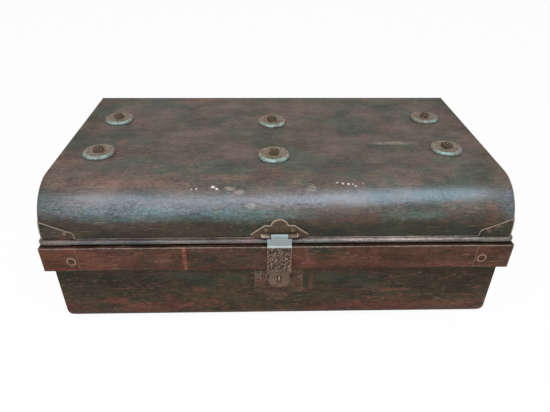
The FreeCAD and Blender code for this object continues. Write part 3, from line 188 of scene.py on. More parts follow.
def copy_of(node):
    """A bmesh of a frame node, with its triangles joined into whole faces."""
    bm = bmesh.new()
    bm.from_mesh(NODES[node].data)
    weld(bm)
    bmesh.ops.dissolve_limit(bm, angle_limit=math.radians(0.5), verts=bm.verts, edges=bm.edges)
    return bm


def cut_grid(bm, axis, start, stop, spacing):
    """Cuts a mesh by planes square to an axis, so that it can be bent between them."""
    count = max(1, round((stop - start) / spacing))
    for number in range(1, count):
        place = start + (stop - start) * number / count
        bmesh.ops.bisect_plane(bm, geom=all_of(bm), dist=1e-7, plane_co=axis * place, plane_no=axis)


def sharp_edges(bm):
    limit = math.radians(32)
    return [edge for edge in bm.edges if edge.calc_face_angle(0.0) > limit]


def round_edges(bm, offset):
    bmesh.ops.bevel(bm, geom=sharp_edges(bm), offset=offset, offset_type="OFFSET", segments=2,
                    profile=0.5, affect="EDGES", clamp_overlap=True, material=-1)


def groups(items, neighbours):
    """Groups of items that hang together."""
    left, found = set(items), []
    for seed in items:
        if seed not in left:
            continue
        left.remove(seed)
        group, queue = [seed], [seed]
        while queue:
            for other in neighbours(queue.pop()):
                if other in left:
                    left.remove(other)
                    group.append(other)
                    queue.append(other)
        found.append(group)
    return found


def wear_edges(bm, band=None, rounding=None):
    """Rounds a mesh's edges, and marks a rubbed band along them in the vertex attribute rub."""
    band = sizes().edge_wear if band is None else band
    rounding = sizes().edge_round if rounding is None else rounding
    rub = bm.verts.layers.float.new("rub")
    sharp = sharp_edges(bm)
    fences = set(sharp)
    for edge in sharp:
        for vert in edge.verts:
            vert[rub] = 1.0
    narrow = set()
    for region in groups(bm.faces, lambda face: [other for edge in face.edges if edge not in fences
                                                 for other in edge.link_faces]):
        area = sum(face.calc_area() for face in region)
        rim = sum(edge.calc_length() for face in region for edge in face.edges if edge in fences)
        reach = min(band, 2 * area / rim / 3.2) if rim > 0 else 0.0
        if reach < NARROW * band:
            narrow.update(region)
            continue
        before = set(bm.verts)
        bmesh.ops.inset_region(bm, faces=region, thickness=reach, use_boundary=True,
                               use_even_offset=False)
        inner = [vert for vert in bm.verts if vert not in before]
        for vert in (*inner, *(vert for face in region for vert in face.verts)):
            vert[rub] = 0.0
    for face in narrow:
        for vert in face.verts:
            if all(other in narrow for other in vert.link_faces):
                vert[rub] = HALF_RUB
    round_edges(bm, rounding)
    return bm


def finish(name, bm, body, look, replaces=(), smooth=38, wall=0.0, weighted=True):
    """Makes the piece, gives it its look and lets it ride on its body."""
    mesh = bpy.data.meshes.new(name)
    bm.to_mesh(mesh)
    bm.free()
    mesh.materials.append(paint(look))
    mesh.shade_smooth()
    mesh.set_sharp_from_angle(angle=math.radians(smooth))
    piece = bpy.data.objects.new(name, mesh)
    bpy.context.scene.collection.objects.link(piece)
    if wall:
        solid = piece.modifiers.new("Wall", "SOLIDIFY")
        solid.thickness = wall
        solid.offset = -1
        solid.use_even_offset = True
    if weighted:
        piece.modifiers.new("Even shading", "WEIGHTED_NORMAL").keep_sharp = True
    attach(piece, body)
    if replaces:
        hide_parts(*replaces)
    return piece


def worn_piece(node, look, body, band=None, rounding=None):
    """A frame node with rounded, rubbed edges in the node's own place."""
    bm = wear_edges(copy_of(node), band, rounding)
    finish(node + "_worn", bm, body, look, (node,))


def outlined_piece(node, look, body, reach, above, spacing=1.3 * MM, lobe=(0, 0, 0)):
    """A frame node in a fine grid, its rub mark strongest at the sharp edges and gone at reach;
    edges below the height above aren't rubbed, nor those of the lobe (middle, half width, top)."""
    bm = copy_of(node)
    places = []
    for edge in sharp_edges(bm):
        start, stop = (vert.co for vert in edge.verts)
        count = max(1, round((stop - start).length / (0.5 * MM)))
        places += [start.lerp(stop, number / count) for number in range(count + 1)]
    middle, half, top = lobe
    places = [place for place in places
              if place.z > above and (abs(place.x - middle) > half or place.z > top)]
    tree = kdtree.KDTree(len(places))
    for number, place in enumerate(places):
        tree.insert(place, number)
    tree.balance()
    for axis, start, stop in zip((X_AXIS, Y_AXIS, Z_AXIS), *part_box(node)):
        cut_grid(bm, axis, start, stop, spacing)
    round_edges(bm, 0.2 * MM)
    rub = bm.verts.layers.float.new("rub")
    for vert in bm.verts:
        vert[rub] = falloff(tree.find(vert.co)[2], reach)
    finish(node + "_worn", bm, body, look, (node,))


def ringed_rivets(node, look, body, band):
    """Flat rivets, their heads marked for a rubbed ring along the rim."""
    bm = copy_of(node)
    rub = bm.verts.layers.float.new("rub")
    heads = [face for face in bm.faces if len(face.verts) > 12]
    for face in heads:
        for vert in face.verts:
            vert[rub] = 1.0
    bmesh.ops.inset_individual(bm, faces=heads, thickness=band, use_even_offset=True)
    for face in heads:
        for vert in face.verts:
            vert[rub] = 0.0
    finish(node + "_worn", bm, body, look, (node,))


def paint_nodes(look, *names):
    """Gives frame nodes their look and leaves their meshes alone."""
    for name in names:
        materials = NODES[name].data.materials
        if not materials:
            materials.append(paint(look))
        for index in range(len(materials)):
            materials[index] = paint(look)


def falloff(distance, reach):
    """1 at no distance, 0 from reach on, with a soft slope."""
    share = min(1.0, max(0.0, 1.0 - distance / reach))
    return share * share * (3 - 2 * share)


def soft_wave(point, length, seed):
    """A smooth wave between 0 and 1, about length long."""
    return 0.5 + 0.5 * noise.noise(point / length + Vector((seed, seed * 1.7, seed * 0.3)))


# --------------------------------------------------------------------------------------------------
# Shader helpers
# --------------------------------------------------------------------------------------------------
class Graph:
    """Short ways to add nodes to one tree."""

    def __init__(self, tree):
        self.tree = tree

    def feed(self, node, inputs):
        """Links a node's inputs, or sets them."""
        for key, value in inputs.items():
            socket = node.inputs[key]
            if isinstance(value, bpy.types.NodeSocket):
                self.tree.links.new(value, socket)
            elif socket.type == "RGBA":
                socket.default_value = (*value[:3], 1.0)
            else:
                socket.default_value = value
        return node

    def add(self, kind, inputs=None, **settings):
        node = self.tree.nodes.new(kind)
        for key, value in settings.items():
            setattr(node, key, value)
        return self.feed(node, inputs or {})

    def use(self, effect, inputs):
        """Places a shared effect; returns its outputs."""
        return self.add("ShaderNodeGroup", inputs, node_tree=effect()).outputs

    def math(self, operation, first, second, clamp=False):
        return self.add("ShaderNodeMath", {0: first, 1: second}, operation=operation,
                        use_clamp=clamp).outputs[0]

    def plus(self, first, second, clamp=False):
        return self.math("ADD", first, second, clamp)

    def minus(self, first, second):
        return self.math("SUBTRACT", first, second)

    def times(self, first, second):
        return self.math("MULTIPLY", first, second)

    def most(self, first, second):
        return self.math("MAXIMUM", first, second)

    def vector(self, operation, inputs, output=0):
        return self.add("ShaderNodeVectorMath", inputs, operation=operation).outputs[output]

    def step(self, value, low, high, start=0.0, end=1.0):
        """A soft step from start to end as value goes from low to high."""
        return self.add("ShaderNodeMapRange", {0: value, 1: low, 2: high, 3: start, 4: end},
                        interpolation_type="SMOOTHSTEP").outputs[0]

    def rise(self, value, low, width):
        """A soft step from 0 to 1 that begins at low and is width wide."""
        return self.step(value, low, self.plus(low, width))

    def blend(self, share, first, second):
        """Mixes two colours."""
        return self.add("ShaderNodeMix", {0: share, 6: first, 7: second}, data_type="RGBA").outputs[2]

    def between(self, share, first, second):
        """Mixes two numbers."""
        return self.add("ShaderNodeMix", {0: share, 2: first, 3: second}, data_type="FLOAT").outputs[0]

    def over(self, colour, mask, share, top):
        """Lays a colour over another one where mask is, as strong as share."""
        return self.blend(self.times(mask, share), colour, top)

    def shade(self, colour, value):
        """Darkens a colour below 1 and brightens it above."""
        return self.add("ShaderNodeHueSaturation", {"Color": colour, "Value": value}).outputs[0]

    def bump(self, height, strength, depth):
        return self.add("ShaderNodeBump", {"Strength": strength, "Distance": depth,
                                           "Height": height}).outputs[0]

    def stretch(self, vector, scale, offset=(0, 0, 0), turned=(0, 0, 0)):
        return self.add("ShaderNodeMapping", {"Vector": vector, "Scale": scale,
                                              "Location": offset, "Rotation": turned}).outputs[0]

    def cloud(self, vector, scale, detail=3, rough=0.55, warp=0.0, offset=(0, 0, 0),
              turned=(0, 0, 0)):
        """Noise between 0 and 1, as fine along each axis as scale says."""
        return self.add("ShaderNodeTexNoise", {
            "Vector": self.stretch(vector, scale, offset, turned), "Scale": 1.0, "Detail": detail,
            "Roughness": rough, "Distortion": warp}).outputs["Fac"]

    def sway(self, *cloud, **places):
        """Noise round zero."""
        return self.minus(self.cloud(*cloud, **places), 0.5)

    def spot(self):
        """The surface point in the frame's own axes."""
        return self.add("ShaderNodeTexCoord").outputs["Object"]

    def attribute(self, name):
        return self.add("ShaderNodeAttribute", attribute_name=name).outputs["Fac"]

    def split(self, vector):
        return self.add("ShaderNodeSeparateXYZ", {0: vector}).outputs

    def by_height(self, height, value):
        """A plain value, or the sum of soft steps (low, high, start, end), heights in millimetres."""
        if not isinstance(value, tuple):
            return value
        total = None
        for low, high, start, end in value:
            level = self.step(height, low * MM, high * MM, start, end)
            total = level if total is None else self.plus(total, level)
        return total


# --------------------------------------------------------------------------------------------------
# Shared effects
# --------------------------------------------------------------------------------------------------
GROUP_SOCKETS = {"value": "NodeSocketFloat", "vector": "NodeSocketVector",
                 "colour": "NodeSocketColor"}
MASK = {"Mask": "value"}
AMOUNT = {"Vector": ("vector", None), "Amount": ("value", 0.5)}


def effect(name, inputs, outputs):
    """Makes a node group, built once, of a function that adds its nodes.
    inputs holds each socket's kind and default, outputs each socket's kind."""
    def wrap(make):
        def group():
            tree = bpy.data.node_groups.get(name)
            if tree:
                return tree
            tree = bpy.data.node_groups.new(name, "ShaderNodeTree")
            for label, (kind, default) in inputs.items():
                socket = tree.interface.new_socket(label, in_out="INPUT",
                                                   socket_type=GROUP_SOCKETS[kind])
                if default is not None:
                    socket.default_value = (*default, 1.0) if kind == "colour" else default
            for label, kind in outputs.items():
                tree.interface.new_socket(label, in_out="OUTPUT", socket_type=GROUP_SOCKETS[kind])
            graph = Graph(tree)
            results = make(graph, graph.add("NodeGroupInput").outputs)
            graph.add("NodeGroupOutput", dict(zip(outputs, results)))
            return tree
        return group
    return wrap


@effect("Worn coats", {
    "Vector": ("vector", None), "Main": ("colour", (0.1, 0.08, 0.06)),
    "Green": ("colour", (0.03, 0.04, 0.03)), "Red": ("colour", (0.15, 0.05, 0.03)),
    "Green Amount": ("value", 0.3), "Red Amount": ("value", 0.3), "Streaks": ("value", 0.5),
}, {"Color": "colour", "Red Mask": "value", "Relief": "value", "Shade": "value"})
def worn_coats(graph, given):
    """Three coats worn into one another in soft patches and thin ragged streaks."""
    where = given["Vector"]
    ragged = graph.sway(where, (44, 90, 150), 5, 0.72, 0.5, offset=(0.3, 5, 2))
    field = graph.cloud(where, (8.5, 10, 18), 5, 0.62, 0.4, offset=(3.1, 1.7, 0.4))
    field = graph.plus(field, graph.times(ragged, 0.35))
    green = graph.rise(field, graph.minus(0.70, given["Green Amount"]), 0.16)
    field = graph.cloud(where, (8.5, 12, 22), 6, 0.66, 0.7, offset=(1.1, 0.2, 6))
    field = graph.plus(field, graph.times(ragged, 0.5))
    red = graph.rise(field, graph.minus(0.80, given["Red Amount"]), 0.13)
    drift = graph.sway(where, (9, 20, 24), 2, offset=(2, 6, 1))
    field = graph.cloud(where, (38, 160, 230), 5, 0.68, 0.9, offset=(9, 2, 4), turned=(0, 0.05, 0.03))
    low = graph.minus(0.75, graph.times(given["Streaks"], 0.2))
    streaks = graph.rise(field, graph.minus(low, graph.times(drift, 0.4)), 0.05)
    red = graph.most(graph.times(red, 0.8), streaks)
    colour = graph.over(given["Main"], green, 0.9, given["Green"])
    colour = graph.blend(red, colour, given["Red"])
    cloudy = graph.cloud(where, (15, 22, 38), 6, 0.75)
    brushed = graph.cloud(where, (150, 330, 440), 4, 0.75)
    level = graph.plus(graph.times(cloudy, 0.55), graph.times(brushed, 0.45))
    return (colour, red, graph.minus(brushed, graph.times(red, 0.7)),
            graph.step(level, 0.37, 0.63, 0.52, 1.5))


@effect("Scratches", AMOUNT, MASK)
def scratches(graph, given):
    """Thin broken lines, most of them along X."""
    where = given["Vector"]
    total = None
    for scale, turned, offset, cut in (
        ((24, 560, 600), (0, 0.03, 0.02), (1, 2, 3), 0.70),
        ((45, 480, 520), (0, -0.12, -0.10), (4, 1, 7), 0.71),
        ((60, 380, 400), (0, 0.6, 0.5), (2, 8, 1), 0.73),
    ):
        field = graph.cloud(where, scale, 2, 0.6, 0.3, offset, turned)
        line = graph.rise(field, graph.minus(cut, graph.times(given["Amount"], 0.12)), 0.05)
        total = line if total is None else graph.most(total, line)
    patch = graph.step(graph.cloud(where, (9, 16, 20)), 0.38, 0.62, 0.15, 1.0)
    return (graph.times(total, patch),)


@effect("Speckle", AMOUNT, MASK)
def speckles(graph, given):
    """Small ragged dots in loose drifts."""
    where = given["Vector"]
    dots = graph.cloud(where, (300, 420, 420), 3, 0.7)
    drift = graph.sway(where, (14, 22, 22), 4, 0.6, offset=(7, 3, 1))
    low = graph.minus(0.78, graph.times(given["Amount"], 0.2))
    return (graph.rise(graph.plus(dots, graph.times(drift, 0.38)), low, 0.07),)


@effect("Rubbed edge", {"Rub": ("value", 0.0), **AMOUNT}, MASK)
def rubbed_edge(graph, given):
    """Paint rubbed through along the edges that the attribute rub marks."""
    ragged = graph.sway(given["Vector"], (90, 140, 140), 5, 0.7)
    level = graph.plus(given["Rub"], graph.times(ragged, 1.7))
    band = graph.step(given["Rub"], 0.05, 0.45)
    return (graph.times(band, graph.rise(level, graph.minus(1.15, given["Amount"]), 0.3)),)


@effect("Mark", {"Vector": ("vector", None), "Centre": ("vector", (0, 0, 0)),
                 "Half Size": ("vector", (0.01, 0.01, 0.01)), "Ragged": ("value", 2.0),
                 "Grain": ("value", 1.0)}, MASK)
def single_mark(graph, given):
    """One ragged mark of a given place and half size."""
    offset = graph.vector("SUBTRACT", {0: given["Vector"], 1: given["Centre"]})
    share = graph.vector("DIVIDE", {0: offset, 1: given["Half Size"]})
    far = graph.vector("LENGTH", {0: share}, "Value")
    fine = graph.vector("SCALE", {0: given["Vector"], "Scale": given["Grain"]})
    wander = graph.times(graph.sway(fine, (60, 150, 150), 5, 0.75), given["Ragged"])
    broken = graph.cloud(fine, (90, 380, 420), 4, 0.7, offset=(2, 7, 5))
    return (graph.times(graph.step(broken, 0.36, 0.56, 0.3, 1.0),
                        graph.step(graph.plus(far, wander), 1.15, 0.5)),)


# --------------------------------------------------------------------------------------------------
# How the finishes are made
# --------------------------------------------------------------------------------------------------
def start_material(name):
    """A new material; returns it, its graph, its shader and the surface point."""
    material = bpy.data.materials.new(name)
    material.use_nodes = True
    graph = Graph(material.node_tree)
    return material, graph, material.node_tree.nodes["Principled BSDF"], graph.spot()


def hue(colour):
    """A tone as it is, or the user's tone of that name."""
    return getattr(colours(), colour) if isinstance(colour, str) else colour


def add_mark(graph, where, colour, mark):
    """mark holds centre, half size, raggedness, strength, colour and fineness; millimetres."""
    centre, half, ragged, strength, mark_colour, *fine = mark
    mask = graph.use(single_mark, {
        "Vector": where, "Centre": [value * MM for value in centre],
        "Half Size": [value * MM for value in half], "Ragged": ragged,
        "Grain": fine[0] if fine else 1.0})["Mask"]
    return graph.over(colour, mask, strength, hue(mark_colour))


def painted(name, main, green="green", oxide="oxide", green_amount=0.3, red_amount=0.3, streaks=0.4,
            scratch=0.5, speckle=0.3, rub=0.5, gloss=0.45, specular=0.25, marks=(),
            rub_colour="scratch", rub_strength=0.8, faded=None, shine=None, red_lines=0.0):
    """Old enamel: coats in streaks, scratches, chalky speckle, rubbed edges and single marks.
    faded holds the heights in millimetres between which the coats turn into faded tones; shine holds
    the heights between which a glossy coat begins, and below which it is broken into specks."""
    material, graph, shader, where = start_material(name)
    height = graph.split(where)["Z"]
    main, green, oxide = (hue(colour) for colour in (main, green, oxide))
    if faded:
        low, high, *pale = faded
        share = graph.step(height, low * MM, high * MM)
        main, green, oxide = (graph.blend(share, deep, hue(light)) for deep, light in
                              zip((main, green, oxide), pale))
    coats = graph.use(worn_coats, {
        "Vector": where, "Main": main, "Green": green, "Red": oxide,
        "Streaks": graph.by_height(height, streaks), "Green Amount": green_amount,
        "Red Amount": graph.by_height(height, red_amount)})
    lines = graph.use(scratches, {"Vector": where, "Amount": scratch})["Mask"]
    dots = graph.use(speckles, {"Vector": where, "Amount": graph.by_height(height, speckle)})["Mask"]
    edge = graph.use(rubbed_edge, {"Vector": where, "Rub": graph.attribute("rub"),
                                   "Amount": rub})["Mask"]
    colour = coats["Color"]
    for mark in marks:
        colour = add_mark(graph, where, colour, mark)
    if red_lines:
        shifted = graph.stretch(where, (1.2, 0.9, 0.9), offset=(0.4, 0.2, 0.7))
        thin = graph.use(scratches, {"Vector": shifted, "Amount": red_lines})["Mask"]
        colour = graph.over(colour, thin, 0.75, hue("red_line"))
    colour = graph.shade(colour, coats["Shade"])
    colour = graph.over(colour, dots, 0.42, hue("scuff"))
    colour = graph.over(colour, lines, 0.42, hue("scratch"))
    colour = graph.over(colour, edge, rub_strength, hue(rub_colour))
    rough = graph.step(graph.cloud(where, (12, 30, 30), 4), 0.3, 0.7, gloss - 0.08, gloss + 0.1)
    rough = graph.plus(rough, graph.times(dots, 0.12), True)
    rough = graph.plus(rough, graph.times(coats["Red Mask"], 0.1), True)
    relief = graph.times(graph.cloud(where, (160, 300, 300), 4, 0.6), 0.5)
    relief = graph.plus(relief, graph.times(coats["Relief"], 0.6))
    relief = graph.minus(relief, graph.times(lines, 0.5))
    relief = graph.minus(relief, graph.times(edge, 0.3))
    graph.feed(shader, {"Base Color": colour, "Roughness": rough, "Specular IOR Level": specular,
                        "Normal": graph.bump(relief, 0.35, 0.12 * MM)})
    if shine:
        graph.feed(shader, {"Coat Weight": coat_weight(graph, where, shine),
                            "Coat Roughness": 0.27, "Coat IOR": 1.7})
    return material


def coat_weight(graph, where, shine):
    """How much gloss is left: none at the foot, specks above it, nearly whole at the top, and less
    to the back and at both ends."""
    low, high, whole = (value * MM for value in shine)
    place = graph.split(where)
    wander = graph.sway(where, (14, 40, 40), 5, 0.7)
    height = graph.plus(place["Z"], graph.times(wander, 26 * MM))
    weight = graph.step(height, low, high, 0.06, 1.0)
    specks = graph.step(graph.cloud(where, (220, 380, 380), 4, 0.75), 0.42, 0.56)
    specks = graph.times(specks, graph.step(height, whole + 8 * MM, whole - 8 * MM, 0.25, 0.8))
    for axis, start, stop, first, last in (("Y", -135, -60, 1.0, 0.6), ("X", -370, -290, 0.45, 1.0),
                                           ("X", 300, 368, 1.0, 0.4)):
        fade = graph.step(place[axis], start * MM, stop * MM, first, last)
        weight = graph.times(weight, fade)
    return graph.times(weight, graph.minus(1.0, specks))


def metal(name, main, second, share=0.5, gloss=0.4, metallic=0.7, scale=90, rub=0.4,
          rub_colour="steel"):
    """Old metal: a second tone in spots, pits, scratches and rubbed edges."""
    material, graph, shader, where = start_material(name)
    field = graph.cloud(where, (scale, scale, scale), 6, 0.65, 0.4)
    spots = graph.step(field, 0.62 - share * 0.3, 0.74 - share * 0.3)
    pits = graph.cloud(where, (700, 700, 700))
    lines = graph.use(scratches, {"Vector": where, "Amount": 0.5})["Mask"]
    edge = graph.use(rubbed_edge, {"Vector": where, "Rub": graph.attribute("rub"),
                                   "Amount": rub})["Mask"]
    colour = graph.blend(spots, hue(main), hue(second))
    colour = graph.shade(colour, graph.step(pits, 0.35, 0.65, 0.6, 1.4))
    bright = graph.most(graph.times(lines, 0.4), graph.times(edge, 0.8))
    relief = graph.minus(pits, graph.times(spots, 0.4))
    graph.feed(shader, {
        "Base Color": graph.blend(bright, colour, hue(rub_colour)),
        "Roughness": graph.between(spots, gloss, min(1.0, gloss + 0.3)),
        "Metallic": graph.between(spots, metallic, metallic * 0.3),
        "Normal": graph.bump(relief, 0.5, 0.15 * MM)})
    return material


def wood(name):
    """Plain softwood, its grain along Y."""
    material, graph, shader, where = start_material(name)
    rings = graph.add("ShaderNodeTexWave", {
        "Vector": graph.stretch(where, (60, 2, 60)), "Scale": 1.0, "Distortion": 7.0,
        "Detail": 3.0, "Detail Scale": 1.2}, wave_type="BANDS").outputs["Fac"]
    fibre = graph.cloud(where, (700, 12, 700), 4, 0.6)
    colour = graph.over(hue("wood"), rings, 0.55, tone(104, 70, 42))
    graph.feed(shader, {
        "Base Color": graph.blend(graph.step(fibre, 0.55, 0.8), colour, tone(70, 48, 32)),
        "Roughness": graph.step(fibre, 0.3, 0.7, 0.6, 0.85),
        "Normal": graph.bump(fibre, 0.5, 0.2 * MM)})
    return material


def taken_up(material):
    """The graph, the shader and the colour so far of a material that gets more on top."""
    shader = material.node_tree.nodes["Principled BSDF"]
    return Graph(material.node_tree), shader, shader.inputs["Base Color"].links[0].from_socket


def hasp_stippled(name, **settings):
    """Worn paint on stippled steel: the high spots are rubbed pale, and the pits are dark with dirt
    and painted shade. The bend is bare, its blue-grey partly a painted reflection, with a painted
    highlight line along its crease.
    """
    material = painted(name, **settings)
    graph, shader, colour = taken_up(material)
    where = graph.spot()
    height = graph.split(where)["Z"]
    raised = graph.attribute("relief")
    streak = graph.step(graph.cloud(where, (560, 420, 130), 3, 0.7, turned=(0, 0.75, 0)), 0.56, 0.62)
    on_face = graph.step(height, 118 * MM, 124 * MM)
    pale = graph.most(graph.times(streak, 0.7), graph.step(raised, 0.74, 0.9))
    smear = graph.times(graph.cloud(where, (200, 60, 60), 4), 3 * MM)
    bend = graph.step(graph.plus(height, smear), 169.5 * MM, 171.5 * MM)
    for mask, share, top in (
        # painted shade with dirt: the stipple's pits made dark
        (graph.times(graph.step(raised, 0.6, 0.38), on_face), 0.95, tone(28, 19, 13)),
        (graph.times(pale, on_face), 0.82, tone(172, 144, 118)),
        (graph.step(height, 119 * MM, 114 * MM), 0.25, tone(128, 98, 74)),
        # bare bend, its pale blue-grey partly a painted reflection of the window
        (bend, 0.95, tone(146, 157, 154)),
        # painted highlight: a near-white line along the crease at the top of the bend
        (graph.times(bend, graph.step(height, 173.2 * MM, 171.6 * MM)), 0.8, tone(196, 206, 202)),
    ):
        colour = graph.over(colour, mask, share, top)
    graph.feed(shader, {"Base Color": colour, "Metallic": graph.times(bend, 0.35)})
    return material


def washer_with_film_and_painted_light(name, **settings):
    """Painted washers: rust and brown on the flat, a green film on the rim that, strongest on the
    front, is partly a painted reflection, and a painted shadow line round the foot.
    """
    material = metal(name, **settings)
    graph, shader, colour = taken_up(material)
    film = graph.step(graph.cloud(graph.spot(), (120, 120, 120), 4, 0.7), 0.4, 0.6, 0.25, 1.0)
    rim = graph.times(graph.attribute("rim"), film)
    # the rim's pale green film, kept mostly to the front by the rim attribute, is partly a painted
    # reflection of the window
    colour = graph.over(colour, rim, 0.9, hue("verdigris_and_glint"))
    # painted shadow: a dark line round each washer's foot
    colour = graph.over(colour, graph.attribute("foot"), 0.7, tone(40, 34, 28))
    graph.feed(shader, {"Base Color": colour})
    return material


# --------------------------------------------------------------------------------------------------
# The trunk's own finishes. A tone's name stands for the user's tone; heights and marks are in
# millimetres, and a mark is centre, half size, raggedness, strength, colour and fineness.
# --------------------------------------------------------------------------------------------------
# TEAL also serves as a painted reflection tint below the lid's gloss band
MOSS, ROSE, SAND, TEAL = tone(50, 84, 62), tone(122, 86, 78), tone(118, 98, 84), tone(74, 104, 96)
CREAM = tone(178, 160, 140)
BODY_RED, BODY_GREEN = tone(110, 62, 50), tone(46, 62, 48)
SKIRT_RED, SKIRT_LIP = tone(100, 58, 48), tone(150, 136, 128)
PLATE_RED, PLATE_PALE = tone(106, 68, 55), tone(146, 124, 108)

LID_FLECKS = (  # x, y, z, half width and half height of the white flecks on the lid
    (-104, -169, 252, 3.8, 2.6), (-98, -172, 250, 2.8, 1.8), (-130, -172, 250, 1.5, 1.2),
    (-138, -173, 250, 1.3, 1.2), (93, -163, 255, 3.2, 1.3), (103, -164, 254, 2.0, 1.2),
    (112, -165, 254, 2.4, 1.8), (119, -166, 254, 1.6, 1.4), (135, -164, 255, 1.6, 1.4),
    (123, -169, 252, 2.4, 1.1),
)
LID_MARKS = (
    ((212, -30, 260), (46, 7, 4), 3.4, 0.5, "scratch", 2.6),
    ((39, -159, 256), (13, 9, 8), 2.4, 0.6, MOSS),
    ((-191, -132, 260), (18, 9, 8), 2.6, 0.5, MOSS),
    ((297, -101, 260), (34, 18, 8), 2.8, 0.45, MOSS),
    ((245, -132, 260), (22, 12, 8), 2.8, 0.55, MOSS),
    ((334, 22, 260), (14, 16, 8), 2.8, 0.4, MOSS),
    ((-60, 30, 260), (40, 26, 8), 3.0, 0.3, MOSS),
    ((10, 150, 260), (130, 50, 8), 2.6, 0.35, tone(116, 90, 76)),
    ((352, 70, 260), (26, 120, 8), 2.4, 0.35, tone(122, 90, 84)),
    ((-250, -162, 255), (110, 12, 6), 2.4, 0.4, ROSE),
    ((-90, -150, 257), (70, 10, 6), 2.4, 0.4, ROSE),
    ((20, -195, 229), (26, 9, 5), 2.6, 0.4, SAND),
    # pale pink at a dent: worn paint, and partly a painted highlight where the dent catches light
    ((-45, -193, 231), (11, 6, 4), 1.6, 0.4, tone(150, 130, 128)),
    # teal below the gloss band: chalky paint, and partly a painted continuation of the window's blue
    # reflection
    ((-50, -202, 219), (120, 14, 12), 2.8, 0.5, TEAL, 1.6),
    ((-230, -199, 221), (130, 16, 15), 2.8, 0.6, tone(70, 98, 102), 1.6),
    ((215, -202, 217), (60, 14, 8), 2.6, 0.45, TEAL, 1.6),
    # painted highlight: a blue-grey patch that carries the window's reflection further down at the
    # right end
    ((374, -190, 228), (30, 34, 24), 1.6, 0.6, tone(78, 99, 108)),
    ((-78, -171, 251), (9, 4, 4), 3.2, 0.6, CREAM, 4.0),
    ((-62, -176, 248), (9, 4, 3), 3.2, 0.6, CREAM, 4.0),
    ((52, -172, 250), (9, 9, 5), 3.2, 0.5, tone(156, 140, 122), 3.0),
    ((30, -160, 256), (8, 6, 6), 2.4, 0.6, SAND, 2.0),
    ((112, -205, 209), (58, 8, 3), 2.2, 0.6, "oxide"),
    ((120, -200, 216), (34, 8, 2), 2.6, 0.6, "oxide", 1.6),
) + tuple(((x, y, z), (wide, 2.5, high), 1.9, 1.0, "chalk", 5.0)
          for x, y, z, wide, high in LID_FLECKS)
BEAD_MARKS = (
    ((190, -210, 179), (180, 5, 3.6), 1.6, 0.85, tone(176, 158, 148)),
    ((-180, -208, 180.5), (170, 3, 2.2), 2.0, 0.5, tone(138, 128, 118)),
    ((0, -208, 180), (70, 3, 3), 1.2, 0.7, tone(140, 124, 108)),
    # painted shadow: a dark line along the underside of the bead, where it meets the skirt
    ((0, -211, 172.6), (900, 6, 1.6), 0.8, 0.75, tone(48, 34, 31)),
)
BODY_MARKS = (
    ((-290, -207, 84), (90, 10, 50), 1.6, 0.85, tone(43, 34, 22)),
    ((310, -207, 84), (80, 10, 46), 1.6, 0.6, tone(46, 34, 20)),
    ((-60, -207, 112), (300, 10, 12), 1.6, 0.7, tone(80, 57, 43)),
    ((-58, -207, 100), (9, 10, 9), 2.8, 0.6, BODY_RED, 1.8),
    ((-136, -207, 70), (14, 10, 9), 3.0, 0.6, BODY_RED, 1.6),
    ((-280, -207, 46), (26, 10, 10), 3.2, 0.6, BODY_RED, 1.6),
    ((-190, -207, 52), (14, 10, 8), 3.0, 0.6, BODY_RED, 1.6),
    ((-210, -207, 30), (70, 12, 14), 2.8, 0.6, BODY_RED, 1.3),
    ((56, -207, 84), (5, 10, 18), 2.6, 0.7, BODY_RED, 1.6),
    ((45, -207, 66), (14, 10, 6), 2.6, 0.6, BODY_RED, 1.6),
    ((170, -207, 66), (70, 10, 5), 3.6, 0.6, BODY_RED, 1.6),
    ((130, -207, 76), (60, 10, 2), 3.2, 0.6, BODY_RED, 1.6),
    ((250, -207, 26), (110, 14, 14), 2.8, 0.5, BODY_RED, 1.3),
    ((-160, -207, 117), (8, 6, 7), 2.6, 0.8, BODY_RED, 1.6),
    ((85, -207, 96), (24, 10, 12), 3.0, 0.6, BODY_GREEN),
    ((150, -207, 72), (40, 10, 14), 3.0, 0.5, BODY_GREEN),
    ((-70, -207, 100), (34, 10, 16), 3.0, 0.5, BODY_GREEN),
    ((-150, -207, 104), (50, 10, 14), 3.0, 0.4, BODY_GREEN),
)
SKIRT_MARKS = (
    ((-152, -218, 149), (4.2, 6, 34), 1.3, 0.85, tone(152, 86, 66), 1.6),
    ((44, -218, 148), (5, 6, 34), 1.8, 0.7, SKIRT_RED),
    ((155, -218, 148), (9, 6, 34), 1.8, 0.6, SKIRT_RED),
    ((-300, -218, 146), (70, 6, 20), 2.4, 0.6, SKIRT_RED),
    ((-190, -218, 143), (14, 6, 16), 2.4, 0.6, SKIRT_RED),
    ((-74, -218, 146), (80, 6, 26), 2.2, 0.75, tone(56, 50, 40)),
    ((-200, -218, 140), (36, 6, 16), 2.6, 0.5, tone(60, 52, 42)),
    ((280, -218, 132), (60, 6, 8), 2.4, 0.5, SKIRT_RED),
    # painted shadow: the flange's top under the bead made dark, where the bead's shadow falls
    ((0, -211, 169.5), (900, 7, 2.0), 0.6, 0.95, tone(34, 25, 21)),
    ((0, -218, 168.6), (900, 1.2, 1.3), 0.9, 0.65, SKIRT_LIP, 1.4),
)
PLATE_MARKS = (
    ((-28, -210, 88), (9, 6, 26), 2.8, 0.5, PLATE_RED, 1.5),
    ((-30, -210, 104), (1.6, 6, 16), 2.8, 0.6, PLATE_PALE, 2.0),
    ((-20, -210, 100), (1.2, 6, 18), 2.8, 0.6, PLATE_PALE, 2.0),
    ((-38, -210, 98), (1.2, 6, 14), 2.8, 0.6, PLATE_PALE, 2.0),
    ((22, -210, 118), (3, 6, 2.5), 1.6, 0.8, tone(176, 150, 138), 3.0),
    ((34, -210, 97), (4, 6, 1.6), 1.8, 0.6, PLATE_PALE, 3.0),
)
